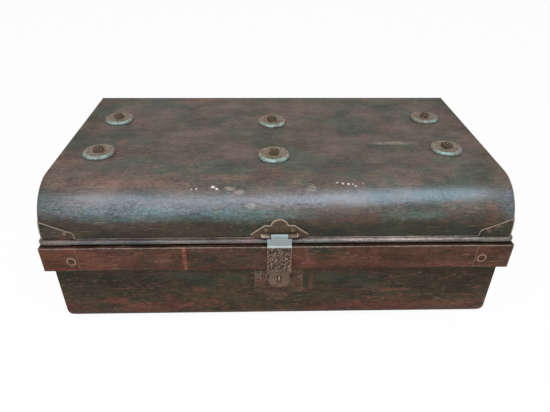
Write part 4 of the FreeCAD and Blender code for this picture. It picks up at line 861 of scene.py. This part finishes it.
HINGE_PLATE_MARKS = (
    ((-23, -213, 186), (12, 9, 4), 1.4, 0.8, tone(168, 160, 136)),
    ((25, -213, 186), (12, 9, 4), 1.4, 0.8, tone(156, 132, 120)),
)
HASP_MARKS = (
    ((1, -213, 98), (26, 9, 20), 0.5, 0.95, tone(136, 110, 86)),
    ((-17, -213, 160), (4, 9, 22), 2.2, 0.7, tone(100, 60, 50)),
    ((17, -213, 138), (4, 9, 22), 2.2, 0.6, tone(120, 66, 60)),
)

FINISHES = {
    "lid_enamel": (painted, dict(
        main="brown", green_amount=0.26, red_amount=0.22, streaks=0.2, scratch=0.4, gloss=0.46,
        speckle=((260, 246, 0.42, 0.8), (212, 226, -0.55, 0.0)), shine=(200, 221, 234),
        faded=(196, 238, "top_brown", "top_green", "top_oxide"), marks=LID_MARKS)),
    "bead_enamel": (painted, dict(
        main=tone(92, 80, 73), green=tone(84, 86, 82), oxide=tone(112, 84, 78), green_amount=0.26,
        red_amount=0.27, scratch=0.7, speckle=0.4, gloss=0.36, specular=0.5, marks=BEAD_MARKS)),
    "body_enamel": (painted, dict(
        main="body", oxide=tone(98, 60, 49), green_amount=0.24, red_amount=((20, 70, 0.34, 0.14),),
        streaks=((20, 90, 1.1, 0.62),), scratch=0.3, speckle=0.1, gloss=0.5, specular=0.16, rub=0.45,
        red_lines=0.55, marks=BODY_MARKS)),
    "skirt_enamel": (painted, dict(
        main="skirt", oxide=SKIRT_RED, green_amount=0.2, streaks=0.7, speckle=0.2, gloss=0.46,
        specular=0.18, rub=0.8, red_lines=0.4, marks=SKIRT_MARKS)),
    "corner_enamel": (painted, dict(
        main=tone(82, 51, 35), oxide=tone(104, 57, 42), green_amount=0.14, red_amount=0.34,
        speckle=0.2, specular=0.18, rub=0.85, rub_colour=tone(138, 106, 88),
        marks=(((0, -219, 168.6), (900, 2.0, 1.3), 0.9, 0.65, SKIRT_LIP, 1.4),))),
    "corner_ring_enamel": (painted, dict(
        main=tone(80, 50, 39), oxide=tone(96, 52, 41), green_amount=0.14, scratch=0.4, speckle=0.2,
        specular=0.18, rub=1.25, rub_colour=tone(156, 124, 104), rub_strength=0.75)),
    "lid_corner_enamel": (painted, dict(
        main=tone(64, 56, 45), green_amount=0.24, red_amount=0.25, rub=0.95, rub_strength=0.85,
        rub_colour=tone(150, 136, 116))),
    "bead_cover_enamel": (painted, dict(
        main=tone(102, 90, 79), green=tone(92, 94, 84), green_amount=0.2, red_amount=0.2,
        scratch=0.6, speckle=0.4, gloss=0.4, specular=0.4, rub_strength=0.45,
        rub_colour=tone(140, 130, 116))),
    "lock_plate_enamel": (painted, dict(
        main="plate", oxide=tone(98, 64, 50), green_amount=0.12, red_amount=0.26, scratch=0.7,
        speckle=0.35, specular=0.2, rub=0.75, rub_strength=0.55, rub_colour=tone(130, 110, 92),
        marks=PLATE_MARKS)),
    "hinge_plate_enamel": (painted, dict(
        main=tone(80, 63, 47), oxide=tone(92, 62, 49), green_amount=0.1, red_amount=0.2,
        scratch=0.45, speckle=0.2, gloss=0.42, rub=1.0, rub_strength=0.85,
        rub_colour=tone(168, 148, 126), marks=HINGE_PLATE_MARKS)),
    "fitting_enamel": (painted, dict(
        main=tone(72, 56, 46), green_amount=0.2, speckle=0.2, specular=0.3, rub=0.6)),
    "hasp_stippled": (hasp_stippled, dict(
        main=tone(84, 66, 55), oxide=tone(92, 58, 47), green_amount=0.06, red_amount=0.28,
        scratch=0.4, speckle=0.2, gloss=0.42, specular=0.3, rub=0.9, rub_strength=0.7,
        rub_colour=tone(158, 106, 98), marks=HASP_MARKS)),
    "washer_film": (washer_with_film_and_painted_light, dict(
        main=tone(126, 118, 104), second=tone(118, 84, 60), share=0.45, gloss=0.42, metallic=0.15,
        scale=150, rub=0.5, rub_colour=tone(140, 134, 120))),
    "nut_rust": (metal, dict(
        main=tone(92, 78, 63), second=tone(102, 74, 54), share=0.4, gloss=0.5, metallic=0.2,
        rub=0.75, rub_colour=tone(150, 140, 124))),
    "pin_steel": (metal, dict(
        main=tone(140, 136, 126), second="rust", share=0.2, gloss=0.38, metallic=0.75)),
    "staple_steel": (metal, dict(
        main=tone(128, 116, 98), second=tone(110, 88, 70), share=0.35, gloss=0.55, metallic=0.2)),
    "rivet_steel": (metal, dict(
        main=tone(100, 80, 66), second=tone(84, 60, 46), gloss=0.45, metallic=0.2)),
    "batten_softwood": (wood, {}),
}
MADE = {}


def paint(name):
    """The named finish, made the first time it is asked for."""
    if name not in MADE:
        make, settings = FINISHES[name]
        MADE[name] = make(name, **settings)
    return MADE[name]


# --------------------------------------------------------------------------------------------------
# Sheets
# --------------------------------------------------------------------------------------------------
DINGS = (  # place on the lid's front, reach and depth, in millimetres
    ((-36, -203, 218), 16, 0.9), ((88, -206, 205), 12, 0.5), ((-240, -190, 236), 22, 0.7),
    ((210, -199, 222), 18, 0.7), ((-120, -200, 210), 14, 0.5),
)
PLATE_HALF = 50 * MM        # half width of the flat that the hasp's plates need
WAVE_CELL = 14 * MM         # distance between the cuts that let a strip wave


def roll_tube(bm, centre_y, centre_z, radius, left, right):
    """A sheet rolled into a tube along X."""
    ring = bmesh.ops.create_circle(bm, segments=20, radius=radius, cap_ends=False,
                                   matrix=Matrix.Translation((left, centre_y, centre_z))
                                   @ Matrix.Rotation(math.radians(90), 4, "Y"))
    edges = dict.fromkeys(edge for vert in ring["verts"] for edge in vert.link_edges)
    run(bm, [*ring["verts"], *edges], (right - left, 0, 0), 60)


def lay_hem(bm, start, stop, face, top):
    """The sheet's turned edge that lies on the lid's face above the bead; returns its faces."""
    verts, edges, faces = set(bm.verts), set(bm.edges), set(bm.faces)
    foot = bm.verts.new((start, face - 0.55 * MM, top - 0.9 * MM))
    edge = run(bm, [foot], (0, 0, 2.8 * MM), 2)
    run(bm, edge, (0, 0.5 * MM, 0.3 * MM), 1)
    made = [item for item in bm.verts if item not in verts]
    made += [item for item in bm.edges if item not in edges]
    run(bm, made, (stop - start, 0, 0), 50)
    return [item for item in bm.faces if item not in faces]


class LidSkin(bpy.types.Operator):
    """The lid's wrapped sheet: front rounding, flat top, back edge and the rolled bead"""
    bl_idname = "trunk.lid_skin"
    bl_label = "Lid skin"

    def execute(self, context):
        size = sizes()
        low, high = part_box("lid_shell")
        roll = size.bead_roll
        front = low.y + 2 * roll - size.sheet
        back = high.y - 2 * roll + size.sheet
        bead = low.z + roll
        foot = bead + roll - size.sheet / 2
        front_spring, back_spring = high.z - size.front_round, high.z - size.back_round
        front_end, back_end = front + size.front_round, back - size.back_round
        bm = bmesh.new()
        vert = bm.verts.new((low.x, front, foot))
        last = run(bm, [vert], (0, 0, front_spring - foot), 3)
        last = turn(bm, last, (0, front_end, front_spring), X_AXIS, -90, 34)
        last = run(bm, last, (0, back_end - front_end, 0), 46)
        last = turn(bm, last, (0, back_end, back_spring), X_AXIS, -90, 6)
        run(bm, last, (0, 0, foot - back_spring), 12)
        run(bm, all_of(bm), (high.x - low.x, 0, 0), 108)
        weld(bm)
        face_up(bm)
        bm.normal_update()
        self.dent(bm, size, low, high)
        bead_gap, hem_gap = 5 * MM, 52 * MM     # from the lid's ends to the bead's and the hem's
        sheet_faces = set(bm.faces)
        for side, face in ((-1, front), (1, back)):
            roll_tube(bm, face + side * (roll - size.sheet), bead, roll, low.x + bead_gap,
                      high.x - bead_gap)
        hem = lay_hem(bm, low.x + hem_gap, high.x - hem_gap, front, bead + roll)
        for face in bm.faces:
            face.material_index = 0 if face in sheet_faces else 1
        bmesh.ops.recalc_face_normals(bm, faces=bm.faces)
        bmesh.ops.reverse_faces(bm, faces=[face for face in hem if face.normal.y > 0])
        skin = finish("lid_skin", bm, "lid", "lid_enamel", ("lid_shell",),
                      wall=size.sheet * 0.9)
        skin.data.materials.append(paint("bead_enamel"))
        return {"FINISHED"}

    def dent(self, bm, size, low, high):
        """Soft waves, weak on the flat top, and single dings. The ends, the foot, the back edge and
        the place of the hasp's plate stay calm."""
        ends, foot, slope, plate_top, flat, back_edge = (
            value * MM for value in (70, 184, 20, 216, -120, 190))
        moves = []
        for vert in bm.verts:
            point = vert.co
            calm = 1 - falloff(min(point.x - low.x, high.x - point.x), ends)
            if point.z < plate_top:
                calm *= 1 - falloff(abs(point.x) - PLATE_HALF, 25 * MM)
            calm *= min(1.0, max(0.0, (point.z - foot) / slope))
            if point.y > flat:
                calm *= 0.35
            if point.y > back_edge:
                calm = 0.0
            wave = soft_wave(point, 0.13, 1.0) * 0.7 + soft_wave(point, 0.05, 5.0) * 0.3
            depth = size.dent_depth * wave * calm
            for place, reach, deep in DINGS:
                depth += deep * MM * falloff((point - Vector(place) * MM).length, reach * MM)
            moves.append((vert, vert.normal * depth))
        for vert, move in moves:
            vert.co -= move


class BodySheets(bpy.types.Operator):
    """The body's wrapped sheet with its soft waves, and its end sheets"""
    bl_idname = "trunk.body_sheets"
    bl_label = "Body sheets"

    def execute(self, context):
        low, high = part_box("body_wrap")
        for node, name in (("body_wrap", "body_skin"), ("body_end_left", "body_end_left_worn"),
                           ("body_end_right", "body_end_right_worn")):
            bm = copy_of(node)
            if node == "body_wrap":
                self.wave(bm, low, high)
            self.knock_corners(bm, low, high)
            finish(name, wear_edges(bm), "trunk", "body_enamel", (node,))
        paint_nodes("pin_steel", "rim_wire")
        return {"FINISHED"}

    def wave(self, bm, low, high):
        """Soft waves between the foot and the rim, none at the ends, the lock and the back hinges."""
        cut_grid(bm, X_AXIS, low.x, high.x, WAVE_CELL)
        cut_grid(bm, Z_AXIS, 25 * MM, 155 * MM, 13 * MM)
        foot, rim, slope, hinge = 30 * MM, 116 * MM, 15 * MM, 240 * MM
        for vert in bm.verts:
            point = vert.co
            if not foot < point.z < rim:
                continue
            calm = 1 - falloff(high.x - abs(point.x), 60 * MM)
            calm *= 1 - falloff(abs(point.x) - PLATE_HALF, 40 * MM)
            if point.y > 0:
                calm *= 1 - falloff(abs(abs(point.x) - hinge) - 30 * MM, 30 * MM)
            calm *= min(1.0, (point.z - foot) / slope, (rim - point.z) / slope)
            inwards = -1 if point.y > 0 else 1
            vert.co.y += inwards * sizes().dent_depth * calm * soft_wave(point, 0.11, 9.0)

    def knock_corners(self, bm, low, high):
        """Old knocks: towards the ground the ends draw in at the corners, less at the back."""
        radius = sizes().corner_knock
        reach, length, full = 60 * MM, 70 * MM, 20 * MM
        cut_grid(bm, Z_AXIS, low.z, low.z + radius, 2 * MM)
        for start, stop in ((low.x, low.x + reach), (high.x - reach, high.x)):
            cut_grid(bm, X_AXIS, start, stop, 6 * MM)
        for start, stop in ((low.y, low.y + length), (high.y - length, high.y)):
            cut_grid(bm, Y_AXIS, start, stop, 7 * MM)
        for vert in bm.verts:
            point = vert.co
            below = min(1.0, max(0.0, 1 - (point.z - low.z) / radius))
            share = falloff(high.x - abs(point.x), reach)
            share *= falloff(min(point.y - low.y, high.y - point.y) - full, length - full)
            share *= 1.0 if point.y < 0 else 0.6
            point.x -= math.copysign(radius * (1 - math.sqrt(1 - below ** 2)) * share, point.x)


class LidEnds(bpy.types.Operator):
    """The lid's end sheets and the wire in its bead"""
    bl_idname = "trunk.lid_ends"
    bl_label = "Lid ends"

    def execute(self, context):
        for side in SIDES:
            worn_piece("lid_end_" + side, "lid_enamel", "lid")
        paint_nodes("pin_steel", "lid_bead_wire")
        return {"FINISHED"}


class Skirt(bpy.types.Operator):
    """The four skirt strips, slightly wavy, with rubbed edges"""
    bl_idname = "trunk.skirt"
    bl_label = "Skirt"

    def execute(self, context):
        size = sizes()
        depth, calm_end, slope = 45 * MM, 95 * MM, 20 * MM
        for name, along, across in (("front", 0, 1), ("back", 0, 1), ("left", 1, 0), ("right", 1, 0)):
            node = "skirt_" + name
            low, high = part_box(node)
            bm = copy_of(node)
            cut_grid(bm, (X_AXIS, Y_AXIS)[along], low[along], high[along], WAVE_CELL)
            cut_grid(bm, Z_AXIS, low.z, low.z + depth, 9 * MM)
            bend = low.z + 44.5 * MM    # just below the flange, which stays flat
            inwards = 1 if name in ("front", "left") else -1
            for vert in bm.verts:
                point = vert.co
                if point.z > bend:
                    continue
                end_gap = min(point[along] - low[along], high[along] - point[along])
                calm = (1 - falloff(end_gap, calm_end)) * min(1.0, (bend - point.z) / slope)
                seed = 3.0 + high[along] - low[along]
                wave = soft_wave(Vector((point[along], 0, 0)), 0.07, seed) - 0.5
                point[across] += inwards * 2 * size.skirt_wave * calm * wave
                point.z += size.skirt_wave * calm * wave * 0.8
            finish(node + "_worn", wear_edges(bm), "lid", "skirt_enamel", (node,))
        return {"FINISHED"}


# --------------------------------------------------------------------------------------------------
# Corner plates and rivets
# --------------------------------------------------------------------------------------------------
class CornerPlates(bpy.types.Operator):
    """Plates on the corners of the skirt and of the lid, their covers over the bead, and rivets"""
    bl_idname = "trunk.corner_plates"
    bl_label = "Corner plates"

    def execute(self, context):
        for name, side, depth in (("front_left", -1, -1), ("front_right", 1, -1),
                                  ("back_left", -1, 1), ("back_right", 1, 1)):
            outlined_piece("skirt_corner_" + name, "corner_enamel", "lid",
                           reach=1.8 * MM, above=126 * MM)
            outlined_piece("lid_corner_" + name, "lid_corner_enamel", "lid",
                           reach=2.0 * MM, above=181 * MM)
            self.cover(name, side, depth)
        ringed_rivets("skirt_corner_rivets", "corner_ring_enamel", "lid",
                      band=1.3 * MM)
        paint_nodes("rivet_steel", "lid_corner_rivets")
        return {"FINISHED"}

    def cover(self, name, side, depth):
        """A plate rolled over the bead round one corner."""
        size = sizes()
        low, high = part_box("lid_bead_wire")
        wire_radius = (high.z - low.z) / 2
        centre_x = (low.x if side < 0 else high.x) - side * (wire_radius + size.cover_set_in)
        centre_y = (low.y if depth < 0 else high.y) - depth * wire_radius
        middle_z = (low.z + high.z) / 2
        bend, leaf = 7 * MM, 46 * MM        # turning radius in plan, and length of a leg
        start, sweep = 60, 250              # where the plate begins and how far it wraps, in degrees
        radius = size.bead_roll + size.cover_gauge
        start_x = centre_x - side * leaf
        bm = bmesh.new()
        vert = bm.verts.new((start_x, centre_y - depth * radius * math.sin(math.radians(start)),
                             middle_z + radius * math.cos(math.radians(start))))
        turn(bm, [vert], (start_x, centre_y, middle_z), X_AXIS, -depth * sweep, 18)
        last = run(bm, all_of(bm), (side * (leaf - bend), 0, 0), 8)
        pivot = (centre_x - side * bend, centre_y - depth * bend, 0)
        last = turn(bm, last, pivot, Z_AXIS, -side * depth * 90, 8)
        run(bm, last, (0, -depth * (leaf - bend), 0), 8)
        weld(bm)
        bmesh.ops.recalc_face_normals(bm, faces=bm.faces)
        outer = max(bm.faces, key=lambda face: face.calc_center_median().y * depth)
        if outer.normal.y * depth < 0:
            bmesh.ops.reverse_faces(bm, faces=bm.faces)
        rub = bm.verts.layers.float.new("rub")
        for vert in bm.verts:
            if any(len(edge.link_faces) < 2 for edge in vert.link_edges):
                vert[rub] = 1.0
        finish("bead_cover_" + name, bm, "lid", "bead_cover_enamel",
               wall=size.cover_gauge)


# --------------------------------------------------------------------------------------------------
# Hasp, staple and plates
# --------------------------------------------------------------------------------------------------
class HaspSet(bpy.types.Operator):
    """The stippled hasp, its hinge plate and pin, the lock plate and the staple"""
    bl_idname = "trunk.hasp_set"
    bl_label = "Hasp, plates and staple"

    def execute(self, context):
        self.strap()
        outlined_piece("hasp_hinge_plate", "hinge_plate_enamel", "lid",
                       reach=2.4 * MM, above=187 * MM, spacing=1.2 * MM,
                       lobe=(1 * MM, 16 * MM, 203.5 * MM))
        outlined_piece("lock_plate", "lock_plate_enamel", "trunk", reach=1.5 * MM,
                       above=60 * MM)
        worn_piece("hasp_staple", "staple_steel", "trunk", band=0.5 * MM)
        paint_nodes("rivet_steel", "hasp_pin", "hasp_plate_rivets", "lock_plate_rivets")
        return {"FINISHED"}

    def strap(self):
        """The strap, its face stippled in a fine grid and the relief marked for its paint."""
        depth = sizes().stipple_depth
        low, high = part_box("hasp_strap")
        bm = copy_of("hasp_strap")
        step, border = 0.75 * MM, 1.2 * MM
        face_foot, face_top, bend = 118 * MM, 168 * MM, 169 * MM
        cut_grid(bm, Z_AXIS, low.z, bend, step)
        cut_grid(bm, X_AXIS, low.x, high.x, step)
        bm.normal_update()
        relief = bm.verts.layers.float.new("relief")
        rub = bm.verts.layers.float.new("rub")
        for vert in bm.verts:
            point = vert.co
            edge_gap = min(point.x - low.x, high.x - point.x)
            vert[relief] = 0.6
            vert[rub] = falloff(edge_gap, 1.6 * MM)
            in_front = vert.normal.y < -0.9 and face_foot < point.z < face_top
            if not in_front or edge_gap < border:
                continue
            lumps = noise.noise(point * 380) * 0.6 + noise.noise(point * 720) * 0.5
            slant = noise.noise(Vector((0.3 * (point.x + point.z), 0, point.z - point.x)) * 330)
            height = max(-1.0, min(1.0, 1.5 * lumps + 1.5 * slant))
            vert[relief] = 0.5 + 0.5 * height
            point.y += depth * (0.5 - 0.5 * height)
        finish("hasp_strap_stippled", bm, "hasp", "hasp_stippled", ("hasp_strap",),
               smooth=50, weighted=False)


# --------------------------------------------------------------------------------------------------
# Bolts, washers and battens
# --------------------------------------------------------------------------------------------------
WASHER_REACH = 28           # outer radius of the profile below, in its own millimetres
WASHER_PROFILE = (  # distance from the middle and height above the lid, in millimetres
    (4.6, 4.0), (11.5, 4.05), (13.0, 3.3), (20.0, 3.9), (21.8, 5.0), (24.0, 5.6), (26.0, 4.9),
    (27.4, 2.6), (WASHER_REACH, 0.05),
)


class Bolts(bpy.types.Operator):
    """Six coach bolts with dished washers and square nuts"""
    bl_idname = "trunk.bolts"
    bl_label = "Bolts, washers and nuts"

    def execute(self, context):
        radius = sizes().washer_radius
        low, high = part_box("lid_washers")
        centres = self.centres()
        bm = bmesh.new()
        film_and_glint_mark = bm.verts.layers.float.new("rim")
        foot_shadow_mark = bm.verts.layers.float.new("foot")
        for centre in centres:
            verts = []
            for reach, height in WASHER_PROFILE:
                vert = bm.verts.new((centre.x + reach * radius / WASHER_REACH, centre.y,
                                     low.z + height * MM))
                vert[film_and_glint_mark] = 1.0 if reach > 21 else 0.0
                # the foot mark carries a painted shadow line round the washer's outer edge
                vert[foot_shadow_mark] = 1.0 if reach == WASHER_REACH else 0.0
                verts.append(vert)
            edges = [bm.edges.new(pair) for pair in zip(verts, verts[1:])]
            turn(bm, verts + edges, centre, Z_AXIS, 360, 56, merge=True)
        weld(bm)
        bmesh.ops.recalc_face_normals(bm, faces=bm.faces)
        face_up(bm)
        bm.normal_update()
        for vert in bm.verts:
            point = vert.co
            wave = noise.noise(point * 95) * 0.5 + noise.noise(point * 260) * 0.2
            if point.z > low.z + 1 * MM:
                point.z = min(high.z, point.z + wave * MM * 0.9)
            centre = min(centres, key=lambda place: (place - point).xy.length)
            front = max(0.0, (centre.y - point.y) / radius)
            # painted reflection: the rim's film is kept mostly to the front half of each washer, where
            # the window's glint falls
            vert[film_and_glint_mark] *= 0.12 + 0.88 * min(1.0, 1.5 * front)
        finish("washers_dished", bm, "lid", "washer_film", ("lid_washers",),
               wall=1.1 * MM)
        worn_piece("lid_nuts", "nut_rust", "lid", band=1.0 * MM, rounding=0.7 * MM)
        paint_nodes("nut_rust", "lid_bolts")
        return {"FINISHED"}

    def centres(self):
        """Middles of the six washers, from the frame."""
        bm = bmesh.new()
        bm.from_mesh(NODES["lid_washers"].data)
        weld(bm)
        found = []
        for washer in groups(bm.verts, lambda vert: [edge.other_vert(vert)
                                                     for edge in vert.link_edges]):
            xs, ys = [vert.co.x for vert in washer], [vert.co.y for vert in washer]
            found.append(Vector(((min(xs) + max(xs)) / 2, (min(ys) + max(ys)) / 2, 0)))
        bm.free()
        return sorted(found, key=lambda centre: (round(centre.x, 2), centre.y))


class Battens(bpy.types.Operator):
    """Three wooden battens inside the lid"""
    bl_idname = "trunk.battens"
    bl_label = "Battens"

    def execute(self, context):
        for name in ("left", "middle", "right"):
            worn_piece("lid_batten_" + name, "batten_softwood", "lid",
                       band=2.0 * MM, rounding=1.0 * MM)
        return {"FINISHED"}


# --------------------------------------------------------------------------------------------------
# Back hinges and handles
# --------------------------------------------------------------------------------------------------
class BackHinges(bpy.types.Operator):
    """Leaves, pins and rivets of the two back hinges"""
    bl_idname = "trunk.back_hinges"
    bl_label = "Back hinges"

    def execute(self, context):
        for side in SIDES:
            worn_piece("hinge_upper_leaf_" + side, "fitting_enamel", "lid")
            worn_piece("hinge_lower_leaf_" + side, "fitting_enamel", "trunk")
            paint_nodes("pin_steel", "hinge_pin_" + side)
        paint_nodes("rivet_steel", "hinge_upper_rivets", "hinge_lower_rivets")
        return {"FINISHED"}


class Handles(bpy.types.Operator):
    """Drop handles with their plates, eyes and rivets"""
    bl_idname = "trunk.handles"
    bl_label = "Handles"

    def execute(self, context):
        for side in SIDES:
            worn_piece("handle_plate_" + side, "fitting_enamel", "trunk")
            worn_piece("handle_eyes_" + side, "fitting_enamel", "trunk",
                       band=0.7 * MM, rounding=0.1 * MM)
            paint_nodes("nut_rust", "handle_" + side)
        paint_nodes("rivet_steel", "handle_rivets")
        return {"FINISHED"}


# --------------------------------------------------------------------------------------------------
# Floor, light and camera
# --------------------------------------------------------------------------------------------------
CAMERA_PLACE = Vector((-25.9, -823.06, 642.6)) * MM
CAMERA_TURN = {"pitch": 33.1431, "yaw": 1.7846, "roll": 0.6037}  # degrees


class Studio(bpy.types.Operator):
    """Pale floor, white surround, soft light and the camera"""
    bl_idname = "trunk.studio"
    bl_label = "Studio"

    def execute(self, context):
        studio = context.scene.trunk_studio
        self.floor(studio)
        self.surround(studio)
        lid_front = (0, -0.19, 0.24)
        self.light("front_light", (-0.1, -1.05, 1.92), lid_front, (2.2, 1.1), studio.key_power,
                   studio.key_colour, glossy=False)
        for name, across, width, share, roll in (("left_window", -0.46, 1.15, 0.09, -20),
                                                 ("right_window", 0.7, 1.65, 0.6, 20)):
            self.light(name, (across, -1.12, 1.99), (across * 0.1, -0.19, 0.24), (width, 1.0),
                       studio.window_power * share, studio.window_colour, diffuse=False, roll=roll)
        self.light("low_window", (-0.72, -1.5, 1.41), lid_front, (1.9, 1.5),
                   studio.low_window_power, studio.window_colour, diffuse=False)
        self.camera(studio)
        context.scene.view_settings.view_transform = "Standard"
        return {"FINISHED"}

    def floor(self, studio):
        bm = bmesh.new()
        bmesh.ops.create_grid(bm, x_segments=1, y_segments=1, size=9)
        mesh = bpy.data.meshes.new("floor")
        bm.to_mesh(mesh)
        bm.free()
        floor = bpy.data.objects.new("floor", mesh)
        bpy.context.scene.collection.objects.link(floor)
        material, graph, shader, where = start_material("pale_floor")
        mottle = graph.cloud(where, (3, 3, 3), 4)
        colour = graph.blend(mottle, studio.floor, [level * 0.985 for level in studio.floor])
        graph.feed(shader, {"Base Color": colour, "Roughness": 0.9, "Specular IOR Level": 0.1})
        glow = graph.add("ShaderNodeEmission", {"Color": (1, 1, 1), "Strength": 1.0})
        share = graph.times(graph.add("ShaderNodeLightPath").outputs["Is Camera Ray"], 0.96)
        mixed = graph.add("ShaderNodeMixShader", {0: share, 1: shader.outputs[0],
                                                  2: glow.outputs[0]})
        graph.feed(material.node_tree.nodes["Material Output"], {"Surface": mixed.outputs[0]})
        mesh.materials.append(material)

    def surround(self, studio):
        world = bpy.data.worlds.new("surround")
        bpy.context.scene.world = world
        world.use_nodes = True
        graph = Graph(world.node_tree)
        background = world.node_tree.nodes["Background"]
        graph.feed(background, {"Color": studio.sky_colour, "Strength": studio.sky})
        white = graph.add("ShaderNodeBackground", {"Color": (1, 1, 1), "Strength": 1.0})
        seen = graph.add("ShaderNodeLightPath").outputs
        share = graph.most(seen["Is Camera Ray"], seen["Is Transmission Ray"])
        mixed = graph.add("ShaderNodeMixShader", {0: share, 1: background.outputs[0],
                                                  2: white.outputs[0]})
        graph.feed(world.node_tree.nodes["World Output"], {"Surface": mixed.outputs[0]})

    def light(self, name, place, target, spread, power, colour, diffuse=True, glossy=True, roll=0):
        lamp = bpy.data.lights.new(name, "AREA")
        lamp.shape = "RECTANGLE"
        lamp.size, lamp.size_y = spread
        lamp.energy = power
        lamp.color = colour
        holder = bpy.data.objects.new(name, lamp)
        aim = Vector(target) - Vector(place)
        turned = aim.to_track_quat("-Z", "Y").to_matrix().to_4x4()
        turned @= Matrix.Rotation(math.radians(roll), 4, "Z")
        holder.matrix_world = Matrix.Translation(place) @ turned
        holder.visible_diffuse = diffuse
        holder.visible_glossy = glossy
        bpy.context.scene.collection.objects.link(holder)

    def camera(self, studio):
        pitch, yaw, roll = (math.radians(CAMERA_TURN[key]) for key in ("pitch", "yaw", "roll"))
        ahead = Vector((math.sin(yaw) * math.cos(pitch), math.cos(yaw) * math.cos(pitch),
                        -math.sin(pitch)))
        level = Vector((math.cos(yaw), -math.sin(yaw), 0))
        above = level.cross(ahead)
        right = level * math.cos(roll) + above * math.sin(roll)
        up = above * math.cos(roll) - level * math.sin(roll)
        turned = Matrix((right, up, -ahead)).transposed().to_4x4()
        lens = bpy.data.cameras.new("camera")
        lens.lens = studio.lens
        lens.sensor_width = 36
        lens.sensor_fit = "HORIZONTAL"
        lens.clip_start = 0.01
        camera = bpy.data.objects.new("camera", lens)
        camera.matrix_world = Matrix.Translation(CAMERA_PLACE) @ turned
        bpy.context.scene.collection.objects.link(camera)
        bpy.context.scene.camera = camera


# --------------------------------------------------------------------------------------------------
# Sidebar panel, registration and the run
# --------------------------------------------------------------------------------------------------
STEPS = (LidSkin, BodySheets, LidEnds, Skirt, CornerPlates, HaspSet, Bolts, Battens, BackHinges,
         Handles, Studio)


class TrunkPanel(bpy.types.Panel):
    """Sizes, colours and steps of the trunk"""
    bl_idname = "VIEW3D_PT_trunk"
    bl_label = "Travelling trunk"
    bl_space_type = "VIEW_3D"
    bl_region_type = "UI"
    bl_category = "Trunk"

    def draw(self, context):
        for group in (context.scene.trunk_sizes, context.scene.trunk_colours,
                      context.scene.trunk_studio):
            box = self.layout.box()
            for name in group.bl_rna.properties.keys():
                if name not in ("rna_type", "name"):
                    box.prop(group, name)
        for step in STEPS:
            self.layout.operator(step.bl_idname)


GROUPS = {"trunk_sizes": TrunkSizes, "trunk_colours": TrunkColours, "trunk_studio": TrunkStudio}


def register():
    for name, group in GROUPS.items():
        bpy.utils.register_class(group)
        setattr(bpy.types.Scene, name, PointerProperty(type=group))
    for step in (*STEPS, TrunkPanel):
        bpy.utils.register_class(step)


def unregister():
    for step in (TrunkPanel, *reversed(STEPS)):
        bpy.utils.unregister_class(step)
    for name, group in GROUPS.items():
        delattr(bpy.types.Scene, name)
        bpy.utils.unregister_class(group)


def main():
    register()
    for step in STEPS:
        getattr(bpy.ops.trunk, step.bl_idname.split(".")[1])()
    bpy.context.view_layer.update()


if __name__ == "__main__":
    main()
